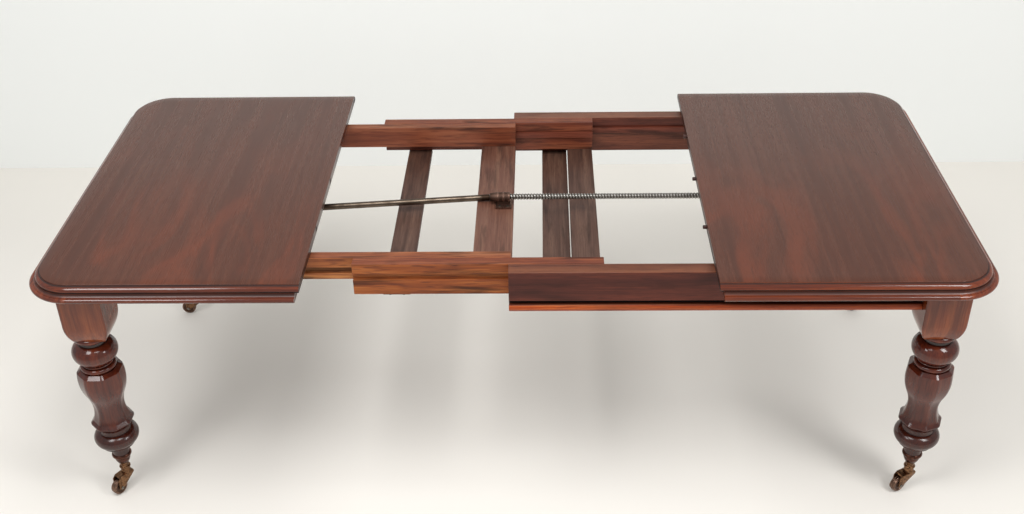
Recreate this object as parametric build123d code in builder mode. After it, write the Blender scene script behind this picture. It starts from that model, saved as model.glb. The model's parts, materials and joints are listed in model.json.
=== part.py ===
from build123d import *
import os
from math import cos, floor, radians, sin

# Wind-out extending dining table, shown opened with its leaves out. Millimetres: +X along the table,
# +Y to its back, +Z up, with the origin on the floor under the middle of the gap for the leaves.

# Tops: the flat of each end top, out to the arris where its moulding starts
table_height = 735.0
leaf_gap = 984.0
face_length = 641.0
face_width = 1014.0
corner_radius = 90.0
board_thickness = 18.0

# Edge moulding, measured out from the arris and down from the face
quirk_drop = 4.0
quirk_ledge = 3.0
thumb_radius = 10.0
neck_out = 11.5
ledge_out = 14.5
lining_fillet = 2.0
cove_sag = 1.3
round_radius = 6.2
round_centre_out = 23.5
edge_height = 37.0
lining_inset = 20.0
lining_setback = 10.0
edge_overlap = 6.0
mitre_gap = 0.2

# Legs: where the axis stands in from the arris, then the turned lengths from the castor upwards
leg_inset_end = 73.0
leg_inset_side = 98.0
peg_radius = 16.0
peg_length = 26.0
ankle_low_radius = 22.0
ankle_radius = 24.0
ankle_length = 35.0
toe_radius = 44.0
toe_height = 7.0
torus_radius = 58.0
torus_neck_radius = 40.0
torus_height = 42.0
cove_radius = 43.0
cove_height = 23.0
collar_radius = 52.0
collar_height = 18.0
collar_bevel = 6.0
waist_radius = 37.5
waist_rise = 52.0
swell_radius = 46.0
swell_rise = 98.0
shoulder_radius = 54.5
shoulder_rise = 180.0
vase_height = 168.0
vase_neck_radius = 45.0
ring_radius = 46.0
ring_height = 14.0
neck_ring_radius = 40.0
neck_ring_height = 5.0
quirk_radius = 36.0
ring_quirk_height = 2.0
bun_radius = 57.5
bun_height = 59.0
cap_quirk_height = 11.0
cap_ring_radius = 43.0
cap_ring_height = 13.0
head_width = 108.0
head_foot_width = 92.0
head_curve_height = 46.0
dowel_radius = 30.0
# How far each end's heads stand in from the turned lengths below them, and its vases are turned in degrees
head_shifts = {"left": 10.0, "right": 8.0}
vase_turns = {"left": 0.0, "right": 22.5}

# End rails, set across the heads of the legs
rail_thickness = 22.0
rail_depth = 117.0
rail_offset = 10.0
tenon_length = 20.0
tenon_thickness = 12.0
tenon_shoulder = 24.0
glue_block_size = 24.0
glue_block_length = 50.0
glue_block_spacing = 120.0

# Slides: three nested pairs, the left pair innermost and set in from the axes of the legs
packing_thickness = 4.0
packing_margin = 10.0
slide_inset = 74.0
slide_gap = 0.4
left_slide_thickness = 27.0
left_slide_depth = 63.0
left_slide_reach = 2.0
middle_slide_thickness = 30.0
middle_slide_depth = 88.0
middle_slide_low_x = -386.0
middle_slide_high_x = 229.0
right_slide_thickness = 40.0
right_slide_depth = 109.0
right_slide_reach = -3.0
tongue_drop = 29.0
tongue_height = 16.4
tongue_reach = 8.0
tongue_seat = 6.0
tongue_clearance = 0.3
tongue_end_clearance = 0.6
rebate_height = 27.0
rebate_depth = 12.0
bead_height = 19.0
bead_proud = 3.0
bead_drop = 4.0
bead_fillet = 3.5
slide_tenon_inset = 10.0

# Crossbars under the slides, each with its inset from its slides' free end
crossbar_thickness = 14.0
crossbar_lap = 12.0
left_crossbar_width = 100.0
middle_left_crossbar_width = 68.0
middle_left_crossbar_inset = 69.0
middle_right_crossbar_width = 73.0
middle_right_crossbar_inset = 1.0
right_crossbar_width = 73.0
right_crossbar_inset = 83.0

# Wood screws
shank_radius = 2.0
shank_clearance = 0.1
head_radius = 4.0
head_height = 2.0
crossbar_screw_length = 28.0
plate_screw_length = 12.0

# Leaf pegs in the right top and their holes in the left one, each hole deeper than the one before it
peg_pin_radius = 5.0
peg_hole_clearance = 0.05
peg_projection = 10.0
peg_seat = 20.0
peg_seat_radius = 6.0
peg_hole_spare = 3.0
peg_hole_step = 1.5
peg_drop = 9.0
peg_spacing = 246.0
peg_row_offset = -2.0
peg_chamfer = 1.0

# Winding screw and what holds it
screw_rise = 23.0
thread_pitch = 8.0
thread_radius = 8.3
thread_depth = 1.8
turns_per_span = 3
screw_tail = 20.0
journal_radius = 7.0
journal_clearance = 0.05
seat_clearance = 0.02
collar_ring_radius = 12.0
collar_ring_length = 10.0
end_collar_length = 6.0
collar_play = 0.2
crank_square = 10.0
crank_length = 18.0
thrust_plate_thickness = 6.0
thrust_plate_width = 60.0
thrust_plate_height = 50.0
plate_screw_margin = 7.0
escutcheon_radius = 20.0
escutcheon_thickness = 3.0
escutcheon_clearance = 0.4
rail_hole_clearance = 1.0

# Nut casting on the left crossbar
nut_clearance = 0.4
boss_radius = 12.5
boss_length = 35.0
boss_setback = 10.0
boss_ring_radius = 14.0
boss_ring_width = 4.0
cone_length = 19.0
cone_tip_radius = 9.6
nut_plate_front = 28.0
nut_plate_back = 42.0
nut_plate_overhang = 4.0
nut_plate_thickness = 5.0
web_thickness = 18.0

# Stay rod from the nut casting to the left end rail
rod_radius = 8.5
rod_tenon_radius = 5.0
rod_tenon_length = 40.0
rod_lug_radius = 9.4
rod_head_gap = 2.0
rod_head_back = 19.0
rod_head_drop = 12.6
rod_foot_front = 40.0
rod_foot_drop = 40.5
rod_foot_seat = 10.0
bracket_plate_size = 50.0
bracket_plate_thickness = 6.0
bracket_socket_radius = 13.0
bracket_socket_length = 24.0

# Castors, with the heading of each horn in degrees from +X
wheel_radius = 22.0
wheel_width = 18.0
wheel_fillet = 4.0
wheel_recess_depth = 2.0
wheel_hub_radius = 8.0
wheel_rim = 7.0
axle_radius = 3.0
axle_clearance = 0.05
axle_head_radius = 4.5
axle_head_height = 1.5
castor_trail = 32.0
fork_play = 0.5
arm_thickness = 4.0
eye_radius = 7.0
crown_clearance = 4.0
crown_thickness = 8.0
crown_back = 15.0
neck_radius = 13.0
neck_height = 34.0
neck_bead_radius = 15.0
neck_bead_height = 6.0
swivel_play = 0.3
swivel_pin_radius = 5.0
swivel_pin_head_radius = 8.0
swivel_pin_head_height = 2.0
swivel_pin_bite = 12.0
cup_floor = 8.0
cup_foot_radius = 14.0
cup_belly_radius = 19.5
cup_waist_radius = 21.5
cup_rim_radius = 26.0
cup_rim_height = 12.0
cup_lip_radius = 23.0
castor_headings = {
    ("left", "front"): 237.0,
    ("left", "back"): 180.0,
    ("right", "front"): 209.0,
    ("right", "back"): 0.0,
}

# Places that follow from the sizes above
board_under = table_height - board_thickness
lining_under = table_height - edge_height
arris_inner = leaf_gap / 2
arris_end = arris_inner + face_length
arris_side = face_width / 2
leg_x = arris_end - leg_inset_end
leg_y = arris_side - leg_inset_side
left_head_face = leg_x - head_shifts["left"] - head_width / 2
right_head_face = leg_x - head_shifts["right"] - head_width / 2
rail_inner = leg_x + rail_offset
rail_outer = rail_inner + rail_thickness
rail_low = board_under - rail_depth
rail_half = leg_y - head_width / 2

slide_top = board_under - packing_thickness
slide_inner = leg_y - slide_inset
middle_inner = slide_inner + left_slide_thickness + slide_gap
right_inner = middle_inner + middle_slide_thickness + slide_gap
left_low = slide_top - left_slide_depth
middle_low = slide_top - middle_slide_depth
right_low = slide_top - right_slide_depth
groove_top = slide_top - tongue_drop
groove_height = tongue_height + 2 * tongue_clearance
groove_depth = tongue_reach - slide_gap + tongue_end_clearance

left_bar = (left_slide_reach - left_crossbar_width, left_slide_reach)
middle_left_bar_x = middle_slide_low_x + middle_left_crossbar_inset
middle_left_bar = (middle_left_bar_x, middle_left_bar_x + middle_left_crossbar_width)
middle_right_bar_x = middle_slide_high_x - middle_right_crossbar_inset
middle_right_bar = (middle_right_bar_x - middle_right_crossbar_width, middle_right_bar_x)
right_bar_x = right_slide_reach + right_crossbar_inset
right_bar = (right_bar_x, right_bar_x + right_crossbar_width)

screw_z = left_low + screw_rise
boss_end = left_slide_reach - boss_setback
boss_start = boss_end - boss_length
cone_start = boss_start - cone_length
plate_inner = rail_inner - thrust_plate_thickness
thread_start = boss_start - screw_tail
collar_start = plate_inner - collar_play - collar_ring_length
span_length = thread_pitch * turns_per_span
thread_spans = floor((collar_start - thread_start) / span_length)
thread_end = thread_start + thread_spans * span_length
end_collar_start = rail_outer + escutcheon_thickness + collar_play
end_collar_end = end_collar_start + end_collar_length

rod_head = Vector(cone_start - rod_head_gap, rod_head_back, screw_z - rod_head_drop)
rod_foot = Vector(-rail_inner + rod_foot_seat, -rod_foot_front, screw_z - rod_foot_drop)
rod_axis = Plane(origin=rod_foot, z_dir=rod_head - rod_foot)
rod_length = (rod_head - rod_foot).length

crown_low = 2 * wheel_radius + crown_clearance
horn_top = crown_low + crown_thickness + neck_height
cup_low = horn_top + swivel_play
peg_low = cup_low + cup_floor
cup_top = peg_low + peg_length
arm_inner = wheel_width / 2 + fork_play
arm_outer = arm_inner + arm_thickness
toe_low = cup_top + ankle_length
torus_low = toe_low + toe_height
torus_top = torus_low + torus_height
collar_low = torus_top + cove_height
vase_low = collar_low + collar_height
vase_top = vase_low + vase_height
ring_top = vase_top + ring_height
neck_ring_low = ring_top + ring_quirk_height
neck_ring_top = neck_ring_low + neck_ring_height
bun_low = neck_ring_top + ring_quirk_height
bun_top = bun_low + bun_height
cap_low = bun_top + cap_quirk_height
head_low = cap_low + cap_ring_height

ENDS = {"left": -1, "right": 1}
SIDES = {"front": -1, "back": 1}
FACETS = 8
CORNERS = 4

os.makedirs("parts", exist_ok=True)


def save(piece, label):
    """Names a finished piece and writes it out."""
    piece.part.label = label
    export_step(piece.part, f"parts/{label}.step")


def slab(low, high, mode=Mode.ADD):
    """Adds a square-edged block between two opposite corners."""
    low, high = Vector(*low), Vector(*high)
    size = high - low
    with Locations(low + size / 2):
        Box(abs(size.X), abs(size.Y), abs(size.Z), mode=mode)


def upright(x, y, turn=0.0):
    """Gives the upright plane through a post's axis, its first axis turned from +X by some degrees."""
    along = (cos(radians(turn)), sin(radians(turn)), 0)
    return Plane(origin=(x, y, 0), x_dir=along, z_dir=(along[1], -along[0], 0))


def wood_screw(seat, length):
    """Adds a screw with its head on the plane and its shank going in behind it."""
    with BuildSketch(seat) as shank:
        Circle(shank_radius)
    extrude(shank.sketch, amount=-length)
    with BuildSketch(seat) as head:
        Circle(head_radius)
    extrude(head.sketch, amount=head_height)


def screw_hole(seat, length):
    """Cuts the hole for a screw set on the plane."""
    with BuildSketch(seat) as hole:
        Circle(shank_radius + shank_clearance)
    extrude(hole.sketch, amount=-length, mode=Mode.SUBTRACT)


# Tops

def board_edge(plane):
    """Draws the upper moulding on a plane that measures out and down from the arris."""
    thumb_centre = quirk_drop + thumb_radius
    thumb_out = quirk_ledge + thumb_radius
    with BuildSketch(plane) as edge:
        with BuildLine():
            Polyline((-edge_overlap, 0), (0, 0), (0, quirk_drop), (quirk_ledge, quirk_drop))
            CenterArc((quirk_ledge, thumb_centre), thumb_radius, -90, 90)
            Polyline(
                (thumb_out, thumb_centre),
                (neck_out, thumb_centre),
                (neck_out, board_thickness),
                (-edge_overlap, board_thickness),
                (-edge_overlap, 0),
            )
        make_face()
    return edge.sketch


def lining_edge(plane):
    """Draws the lower moulding, a cove and a round on a flat strip, out and down from the arris."""
    cove_start = Vector(ledge_out, board_thickness + lining_fillet)
    round_centre = Vector(round_centre_out, edge_height - round_radius)
    cove_end = round_centre + Vector(-round_radius, 0).rotate(Axis.Z, 60)
    cove_chord = cove_end - cove_start
    cove_middle = (cove_start + cove_end) / 2 + cove_chord.rotate(Axis.Z, 90).normalized() * cove_sag
    round_nose = round_centre + Vector(round_radius, 0)
    round_under = round_centre + Vector(0, round_radius)
    with BuildSketch(plane) as edge:
        with BuildLine():
            Polyline(
                (round_under.X, round_under.Y),
                (-lining_inset, edge_height),
                (-lining_inset, board_thickness),
                (ledge_out, board_thickness),
                (cove_start.X, cove_start.Y),
            )
            ThreePointArc(cove_start, cove_middle, cove_end)
            ThreePointArc(cove_end, round_nose, round_under)
        make_face()
    return edge.sketch


def edge_plane(x, y, out):
    """Gives the plane across the edge at a point of the arris, measuring out and then down."""
    return Plane(origin=(x, y, table_height), x_dir=out, z_dir=Vector(*out).cross(Vector(0, 0, -1)))


def peg_places():
    """Gives the centres of the leaf pegs along the inner edge of a top."""
    height = table_height - peg_drop
    return [(peg_row_offset + step * peg_spacing, height) for step in (-1, 0, 1)]


with BuildPart() as top_board:
    with BuildSketch(Plane.XY.offset(board_under)):
        with Locations((arris_inner + face_length / 2, 0)):
            Rectangle(face_length, face_width)
        fillet(vertices().group_by(Axis.X)[-1], radius=corner_radius)
    extrude(amount=board_thickness)
    with BuildLine(Plane.XY.offset(table_height)) as arris:
        FilletPolyline(
            (arris_inner, -arris_side),
            (arris_end, -arris_side),
            (arris_end, arris_side),
            (arris_inner, arris_side),
            radius=corner_radius,
        )
    first_edge = edge_plane(arris_inner, -arris_side, (0, -1, 0))
    sweep(sections=board_edge(first_edge), path=arris.wires()[0])

with BuildPart() as right_top_board:
    add(top_board.part)
    for y, z in peg_places():
        with BuildSketch(Plane(origin=(arris_inner, y, z), z_dir=(1, 0, 0))):
            Circle(peg_seat_radius + seat_clearance)
        extrude(amount=peg_seat, mode=Mode.SUBTRACT)
save(right_top_board, "right_top_board")

with BuildPart() as left_top_board:
    mirror(top_board.part, about=Plane.YZ)
    for place, (y, z) in enumerate(peg_places()):
        with BuildSketch(Plane(origin=(-arris_inner, y, z), z_dir=(-1, 0, 0))):
            Circle(peg_pin_radius + peg_hole_clearance)
        hole_depth = peg_projection + peg_hole_spare + place * peg_hole_step
        extrude(amount=hole_depth, mode=Mode.SUBTRACT)
save(left_top_board, "left_top_board")

with BuildPart() as leaf_pegs:
    for y, z in peg_places():
        with BuildSketch(Plane(origin=(arris_inner - peg_projection, y, z), z_dir=(1, 0, 0))):
            Circle(peg_pin_radius)
        extrude(amount=peg_projection)
        with BuildSketch(Plane(origin=(arris_inner, y, z), z_dir=(1, 0, 0))):
            Circle(peg_seat_radius)
        extrude(amount=peg_seat)
    chamfer(faces().group_by(Axis.X)[0].edges(), length=peg_chamfer)
save(leaf_pegs, "leaf_pegs")

corner_x = arris_end - corner_radius
corner_y = arris_side - corner_radius
with BuildPart() as edge_lining:
    for side in SIDES.values():
        strip = edge_plane(arris_inner + lining_setback, side * arris_side, (0, side, 0))
        strip_length = corner_x - arris_inner - lining_setback - mitre_gap
        extrude(lining_edge(strip), amount=strip_length, dir=(1, 0, 0))
        bend = edge_plane(arris_end, side * corner_y, (1, 0, 0))
        corner = Axis((corner_x, side * corner_y, 0), (0, 0, side))
        revolve(lining_edge(bend), axis=corner, revolution_arc=90)
    end_strip = edge_plane(arris_end, -corner_y + mitre_gap, (1, 0, 0))
    extrude(lining_edge(end_strip), amount=2 * (corner_y - mitre_gap), dir=(0, 1, 0))
save(edge_lining, "right_edge_lining")

with BuildPart() as left_edge_lining:
    mirror(edge_lining.part, about=Plane.YZ)
save(left_edge_lining, "left_edge_lining")


# Legs

def rail_tenon(end, side, spare=0.0):
    """Gives the two corners of the tenon of an end rail in the head of a leg."""
    middle = end * (rail_inner + rail_thickness / 2)
    low = (middle - tenon_thickness / 2, side * rail_half, rail_low + tenon_shoulder)
    high = (
        middle + tenon_thickness / 2,
        side * (rail_half + tenon_length + spare),
        lining_under - tenon_shoulder,
    )
    return low, high


def slide_tenon(side):
    """Gives the two corners of the tenon of a right slide in the head of its leg."""
    low = (right_head_face, side * (right_inner + slide_tenon_inset), right_low + rebate_height)
    high = (
        right_head_face + tenon_length,
        side * (right_inner + right_slide_thickness - slide_tenon_inset),
        lining_under - tenon_shoulder,
    )
    return low, high


def leg(end, side, head_shift, vase_turn):
    """Makes a leg: octagonal vase, square head, then the turned lengths between and below them."""
    x, y = end * leg_x, side * leg_y
    axis = Axis((x, y, 0), (0, 0, 1))
    with BuildPart() as vase:
        for facet in range(FACETS // 2):
            with BuildSketch(upright(x, y, vase_turn + facet * 360 / FACETS)):
                with BuildLine():
                    Polyline(
                        (0, collar_low),
                        (cove_radius, collar_low),
                        (collar_radius, collar_low + collar_bevel),
                        (collar_radius, vase_low - collar_bevel),
                        (vase_neck_radius, vase_low),
                    )
                    waist = ThreePointArc(
                        (vase_neck_radius, vase_low),
                        (waist_radius, collar_low + waist_rise),
                        (swell_radius, collar_low + swell_rise),
                    )
                    belly = TangentArc(
                        waist @ 1, (shoulder_radius, collar_low + shoulder_rise), tangent=waist % 1
                    )
                    Polyline(belly @ 1, (vase_neck_radius, vase_top), (0, vase_top))
                    mirror(about=Plane.YZ)
                make_face()
            facet_mode = Mode.INTERSECT if facet else Mode.ADD
            extrude(amount=head_width, both=True, mode=facet_mode)
    with BuildPart() as head:
        for face in range(CORNERS // 2):
            with BuildSketch(upright(x - end * head_shift, y, face * 360 / CORNERS)):
                with BuildLine():
                    Line((0, head_low), (head_foot_width / 2, head_low))
                    TangentArc(
                        (head_width / 2, head_low + head_curve_height),
                        (head_foot_width / 2, head_low),
                        tangent=(0, -1),
                    )
                    Polyline(
                        (head_width / 2, head_low + head_curve_height),
                        (head_width / 2, lining_under),
                        (0, lining_under),
                    )
                    mirror(about=Plane.YZ)
                make_face()
            face_mode = Mode.INTERSECT if face else Mode.ADD
            extrude(amount=head_width, both=True, mode=face_mode)
    with BuildPart() as post:
        add(vase.part)
        add(head.part)
        with BuildSketch(upright(x, y)):
            with BuildLine():
                Polyline(
                    (0, collar_low),
                    (0, peg_low),
                    (peg_radius, peg_low),
                    (peg_radius, cup_top),
                    (ankle_low_radius, cup_top),
                    (ankle_radius, toe_low),
                    (toe_radius, toe_low),
                    (toe_radius, torus_low),
                )
                ThreePointArc(
                    (toe_radius, torus_low),
                    (torus_radius, (torus_low + torus_top) / 2),
                    (torus_neck_radius, torus_top),
                )
                Polyline((torus_neck_radius, torus_top), (cove_radius, collar_low), (0, collar_low))
            make_face()
        revolve(axis=axis)
        with BuildSketch(upright(x, y)):
            with BuildLine():
                Polyline((0, head_low), (0, vase_top), (quirk_radius, vase_top))
                ThreePointArc(
                    (quirk_radius, vase_top),
                    (ring_radius, vase_top + ring_height / 2),
                    (quirk_radius, ring_top),
                )
                Line((quirk_radius, ring_top), (quirk_radius, neck_ring_low))
                ThreePointArc(
                    (quirk_radius, neck_ring_low),
                    (neck_ring_radius, (neck_ring_low + neck_ring_top) / 2),
                    (quirk_radius, neck_ring_top),
                )
                Line((quirk_radius, neck_ring_top), (quirk_radius, bun_low))
                ThreePointArc(
                    (quirk_radius, bun_low),
                    (bun_radius, (bun_low + bun_top) / 2),
                    (quirk_radius, bun_top),
                )
                Line((quirk_radius, bun_top), (quirk_radius, cap_low))
                ThreePointArc(
                    (quirk_radius, cap_low),
                    (cap_ring_radius, cap_low + cap_ring_height / 2),
                    (quirk_radius, head_low),
                )
                Line((quirk_radius, head_low), (0, head_low))
            make_face()
        revolve(axis=axis)
        with BuildSketch(Plane.XY.offset(lining_under)):
            with Locations((x, y)):
                Circle(dowel_radius)
        extrude(amount=board_under - lining_under)
        slab(*rail_tenon(end, side), mode=Mode.SUBTRACT)
        if end == ENDS["right"]:
            slab(*slide_tenon(side), mode=Mode.SUBTRACT)
        with BuildSketch(Plane.XY.offset(peg_low)):
            with Locations((x, y)):
                Circle(swivel_pin_radius + shank_clearance)
        extrude(amount=swivel_pin_bite, mode=Mode.SUBTRACT)
    return post


for end_name, end in ENDS.items():
    for side_name, side in SIDES.items():
        post = leg(end, side, head_shifts[end_name], vase_turns[end_name])
        save(post, f"{end_name}_{side_name}_leg")


# End rails and what stiffens them

def plate_seats(facing):
    """Gives the planes on which the screws of the plates on an end rail's inner face are set."""
    if facing == "thrust":
        x, y, z = plate_inner, 0, screw_z
        half_y, half_z = thrust_plate_width / 2, thrust_plate_height / 2
        out = (-1, 0, 0)
    else:
        x, y, z = -rail_inner + bracket_plate_thickness, rod_foot.Y, rod_foot.Z
        half_y = half_z = bracket_plate_size / 2
        out = (1, 0, 0)
    half_y, half_z = half_y - plate_screw_margin, half_z - plate_screw_margin
    corners = [(across, up) for across in (-half_y, half_y) for up in (-half_z, half_z)]
    return [Plane(origin=(x, y + across, z + up), z_dir=out) for across, up in corners]


def end_rail(end):
    """Makes an end rail with its two tenons and the holes for what is screwed to it."""
    with BuildPart() as rail:
        slab((end * rail_inner, -rail_half, rail_low), (end * rail_outer, rail_half, board_under))
        for side in SIDES.values():
            slab(*rail_tenon(end, side))
        if end == ENDS["right"]:
            with BuildSketch(Plane(origin=(rail_inner, 0, screw_z), z_dir=(1, 0, 0))):
                Circle(journal_radius + rail_hole_clearance)
            extrude(amount=rail_thickness, mode=Mode.SUBTRACT)
        for seat in plate_seats("thrust" if end == ENDS["right"] else "bracket"):
            screw_hole(seat, plate_screw_length)
    return rail


def glue_blocks(end):
    """Makes the three-cornered blocks glued between an end rail and its board."""
    with BuildPart() as blocks:
        for side in SIDES.values():
            for step in (1, 2):
                y = side * step * glue_block_spacing - glue_block_length / 2
                inner = Plane(origin=(end * rail_inner, y, board_under), x_dir=(-end, 0, 0), z_dir=(0, 1, 0))
                with BuildSketch(inner):
                    with BuildLine():
                        Polyline((0, 0), (glue_block_size, 0), (0, -end * glue_block_size), close=True)
                    make_face()
                extrude(amount=glue_block_length, dir=(0, 1, 0))
    return blocks


for end_name, end in ENDS.items():
    save(end_rail(end), f"{end_name}_end_rail")
    save(glue_blocks(end), f"{end_name}_glue_blocks")


# Slides

def crossbar_seats(span, inner, low):
    """Gives the planes under a crossbar on which its four screws are set, for both sides."""
    first, last = span
    quarter = (last - first) / 4
    reach = inner + crossbar_lap / 2
    under = low - crossbar_thickness
    places = (first + quarter, last - quarter)
    return {
        side: [Plane(origin=(x, side * reach, under), z_dir=(0, 0, -1)) for x in places]
        for side in SIDES.values()
    }


def groove(side, outer_face, x_low, x_high):
    """Cuts the groove along a slide's outer face that the next slide's tongue runs in."""
    slab(
        (x_low, side * (outer_face - groove_depth), groove_top - groove_height),
        (x_high, side * outer_face, groove_top),
        mode=Mode.SUBTRACT,
    )


def tongue(side, inner_face, x_low, x_high, reach, mode=Mode.ADD):
    """Adds or cuts the tongue that is let into a slide's inner face."""
    top = groove_top - tongue_clearance
    slab(
        (x_low, side * (inner_face - reach), top - tongue_height),
        (x_high, side * (inner_face + tongue_seat), top),
        mode=mode,
    )


left_seats = crossbar_seats(left_bar, slide_inner, left_low)
middle_left_seats = crossbar_seats(middle_left_bar, middle_inner, middle_low)
middle_right_seats = crossbar_seats(middle_right_bar, middle_inner, middle_low)
right_seats = crossbar_seats(right_bar, right_inner, right_low)

for side_name, side in SIDES.items():
    left_outer = slide_inner + left_slide_thickness
    with BuildPart() as left_slide:
        slab(
            (-left_head_face, side * slide_inner, left_low),
            (left_slide_reach, side * left_outer, slide_top),
        )
        groove(side, left_outer, -left_head_face, left_slide_reach)
        for seat in left_seats[side]:
            screw_hole(seat, crossbar_screw_length)
    save(left_slide, f"left_{side_name}_slide")

    middle_outer = middle_inner + middle_slide_thickness
    with BuildPart() as middle_slide:
        slab(
            (middle_slide_low_x, side * middle_inner, middle_low),
            (middle_slide_high_x, side * middle_outer, slide_top),
        )
        groove(side, middle_outer, middle_slide_low_x, middle_slide_high_x)
        tongue(side, middle_inner, middle_slide_low_x, middle_slide_high_x, 0, mode=Mode.SUBTRACT)
        for seat in middle_left_seats[side] + middle_right_seats[side]:
            screw_hole(seat, crossbar_screw_length)
    save(middle_slide, f"middle_{side_name}_slide")

    right_outer = right_inner + right_slide_thickness
    with BuildPart() as right_slide:
        slab(
            (right_slide_reach, side * right_inner, right_low),
            (right_head_face, side * right_outer, slide_top),
        )
        slab(*slide_tenon(side))
        tongue(side, right_inner, right_slide_reach, right_head_face, 0, mode=Mode.SUBTRACT)
        slab(
            (right_slide_reach, side * (right_outer - rebate_depth), right_low),
            (right_head_face, side * right_outer, right_low + rebate_height),
            mode=Mode.SUBTRACT,
        )
        for seat in right_seats[side]:
            screw_hole(seat, crossbar_screw_length)
    save(right_slide, f"right_{side_name}_slide")

with BuildPart() as middle_slide_tongues:
    for side in SIDES.values():
        tongue(side, middle_inner, middle_slide_low_x, middle_slide_high_x, tongue_reach)
save(middle_slide_tongues, "middle_slide_tongues")

with BuildPart() as right_slide_tongues:
    for side in SIDES.values():
        tongue(side, right_inner, right_slide_reach, right_head_face, tongue_reach)
save(right_slide_tongues, "right_slide_tongues")

with BuildPart() as right_slide_beads:
    for side in SIDES.values():
        face = right_inner + right_slide_thickness
        bead_low = right_low - bead_drop
        slab(
            (right_slide_reach, side * (face - rebate_depth), bead_low),
            (right_head_face, side * (face + bead_proud), bead_low + bead_height),
        )
    outer_edges = edges().filter_by(Axis.X).filter_by(
        lambda edge: abs(edge.center().Y) > right_inner + right_slide_thickness
    )
    fillet(outer_edges, radius=bead_fillet)
save(right_slide_beads, "right_slide_beads")

for end_name, end in ENDS.items():
    inner = right_inner if end == ENDS["right"] else slide_inner
    thickness = right_slide_thickness if end == ENDS["right"] else left_slide_thickness
    head_face = right_head_face if end == ENDS["right"] else left_head_face
    with BuildPart() as packing_strips:
        for side in SIDES.values():
            slab(
                (end * (arris_inner + packing_margin), side * inner, slide_top),
                (end * (head_face - packing_margin), side * (inner + thickness), board_under),
            )
    save(packing_strips, f"{end_name}_packing_strips")


# Crossbars

def nut_plate_seats():
    """Gives the planes on the nut casting's plate on which its four screws are set."""
    top = left_low + nut_plate_thickness
    rows = (plate_screw_margin - nut_plate_front, nut_plate_back - plate_screw_margin)
    ends = (boss_start + plate_screw_margin, boss_end - plate_screw_margin)
    return [Plane(origin=(x, y, top), z_dir=(0, 0, 1)) for x in ends for y in rows]


def crossbar(span, inner, low, seats, plate_seats_on_top=()):
    """Makes a flat bar under a pair of slides, drilled for its screws."""
    reach = inner + crossbar_lap
    with BuildPart() as bar:
        slab((span[0], -reach, low - crossbar_thickness), (span[1], reach, low))
        for side in SIDES.values():
            for seat in seats[side]:
                screw_hole(seat, crossbar_thickness)
        for seat in plate_seats_on_top:
            screw_hole(seat, plate_screw_length)
    return bar


save(crossbar(left_bar, slide_inner, left_low, left_seats, nut_plate_seats()), "left_crossbar")
save(crossbar(middle_left_bar, middle_inner, middle_low, middle_left_seats), "middle_left_crossbar")
save(crossbar(middle_right_bar, middle_inner, middle_low, middle_right_seats), "middle_right_crossbar")
save(crossbar(right_bar, right_inner, right_low, right_seats), "right_crossbar")


def screw_group(long_seats, short_seats=()):
    """Makes the screws of one frame: long ones in crossbars, short ones in plates."""
    with BuildPart() as screws:
        for seats in long_seats:
            for side in SIDES.values():
                for seat in seats[side]:
                    wood_screw(seat, crossbar_screw_length)
        for seat in short_seats:
            wood_screw(seat, plate_screw_length)
    return screws


save(screw_group([left_seats], nut_plate_seats() + plate_seats("bracket")), "left_frame_screws")
save(screw_group([middle_left_seats, middle_right_seats]), "middle_frame_screws")
save(screw_group([right_seats], plate_seats("thrust")), "right_frame_screws")


# Winding screw

def across_x(x):
    """Gives the plane across the winding screw at a place along it."""
    return Plane(origin=(x, 0, screw_z), x_dir=(0, 1, 0), z_dir=(1, 0, 0))


with BuildPart() as thread_span:
    with BuildLine() as thread_axis:
        Line((0, 0, 0), (0, 0, span_length))
    with BuildLine(mode=Mode.PRIVATE) as thread_guide:
        Helix(pitch=thread_pitch, height=span_length, radius=2 * thread_radius)
    with BuildSketch(Plane.XY) as section:
        with Locations((thread_depth / 2, 0)):
            Circle(thread_radius - thread_depth / 2)
    sweep(sections=section.sketch, path=thread_axis.wires()[0], binormal=thread_guide.edges()[0])

with BuildPart() as lead_screw:
    with Locations(*[across_x(thread_start + count * span_length) for count in range(thread_spans)]):
        add(thread_span.part)
    with BuildSketch(across_x(thread_end)):
        Circle(journal_radius)
    extrude(amount=end_collar_end - thread_end)
    with BuildSketch(across_x(end_collar_end)):
        Rectangle(crank_square, crank_square)
    extrude(amount=crank_length)
save(lead_screw, "lead_screw")

with BuildPart() as thrust_collars:
    for start, length in ((collar_start, collar_ring_length), (end_collar_start, end_collar_length)):
        with BuildSketch(across_x(start)):
            Circle(collar_ring_radius)
            Circle(journal_radius + seat_clearance, mode=Mode.SUBTRACT)
        extrude(amount=length)
save(thrust_collars, "thrust_collars")

with BuildPart() as thrust_plate:
    with BuildSketch(across_x(plate_inner)):
        Rectangle(thrust_plate_width, thrust_plate_height)
        Circle(journal_radius + journal_clearance, mode=Mode.SUBTRACT)
    extrude(amount=thrust_plate_thickness)
    for seat in plate_seats("thrust"):
        screw_hole(seat, thrust_plate_thickness)
save(thrust_plate, "thrust_plate")

with BuildPart() as crank_escutcheon:
    with BuildSketch(across_x(rail_outer)):
        Circle(escutcheon_radius)
        Circle(journal_radius + escutcheon_clearance, mode=Mode.SUBTRACT)
    extrude(amount=escutcheon_thickness)
save(crank_escutcheon, "crank_escutcheon")


# Nut casting and stay rod

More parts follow.
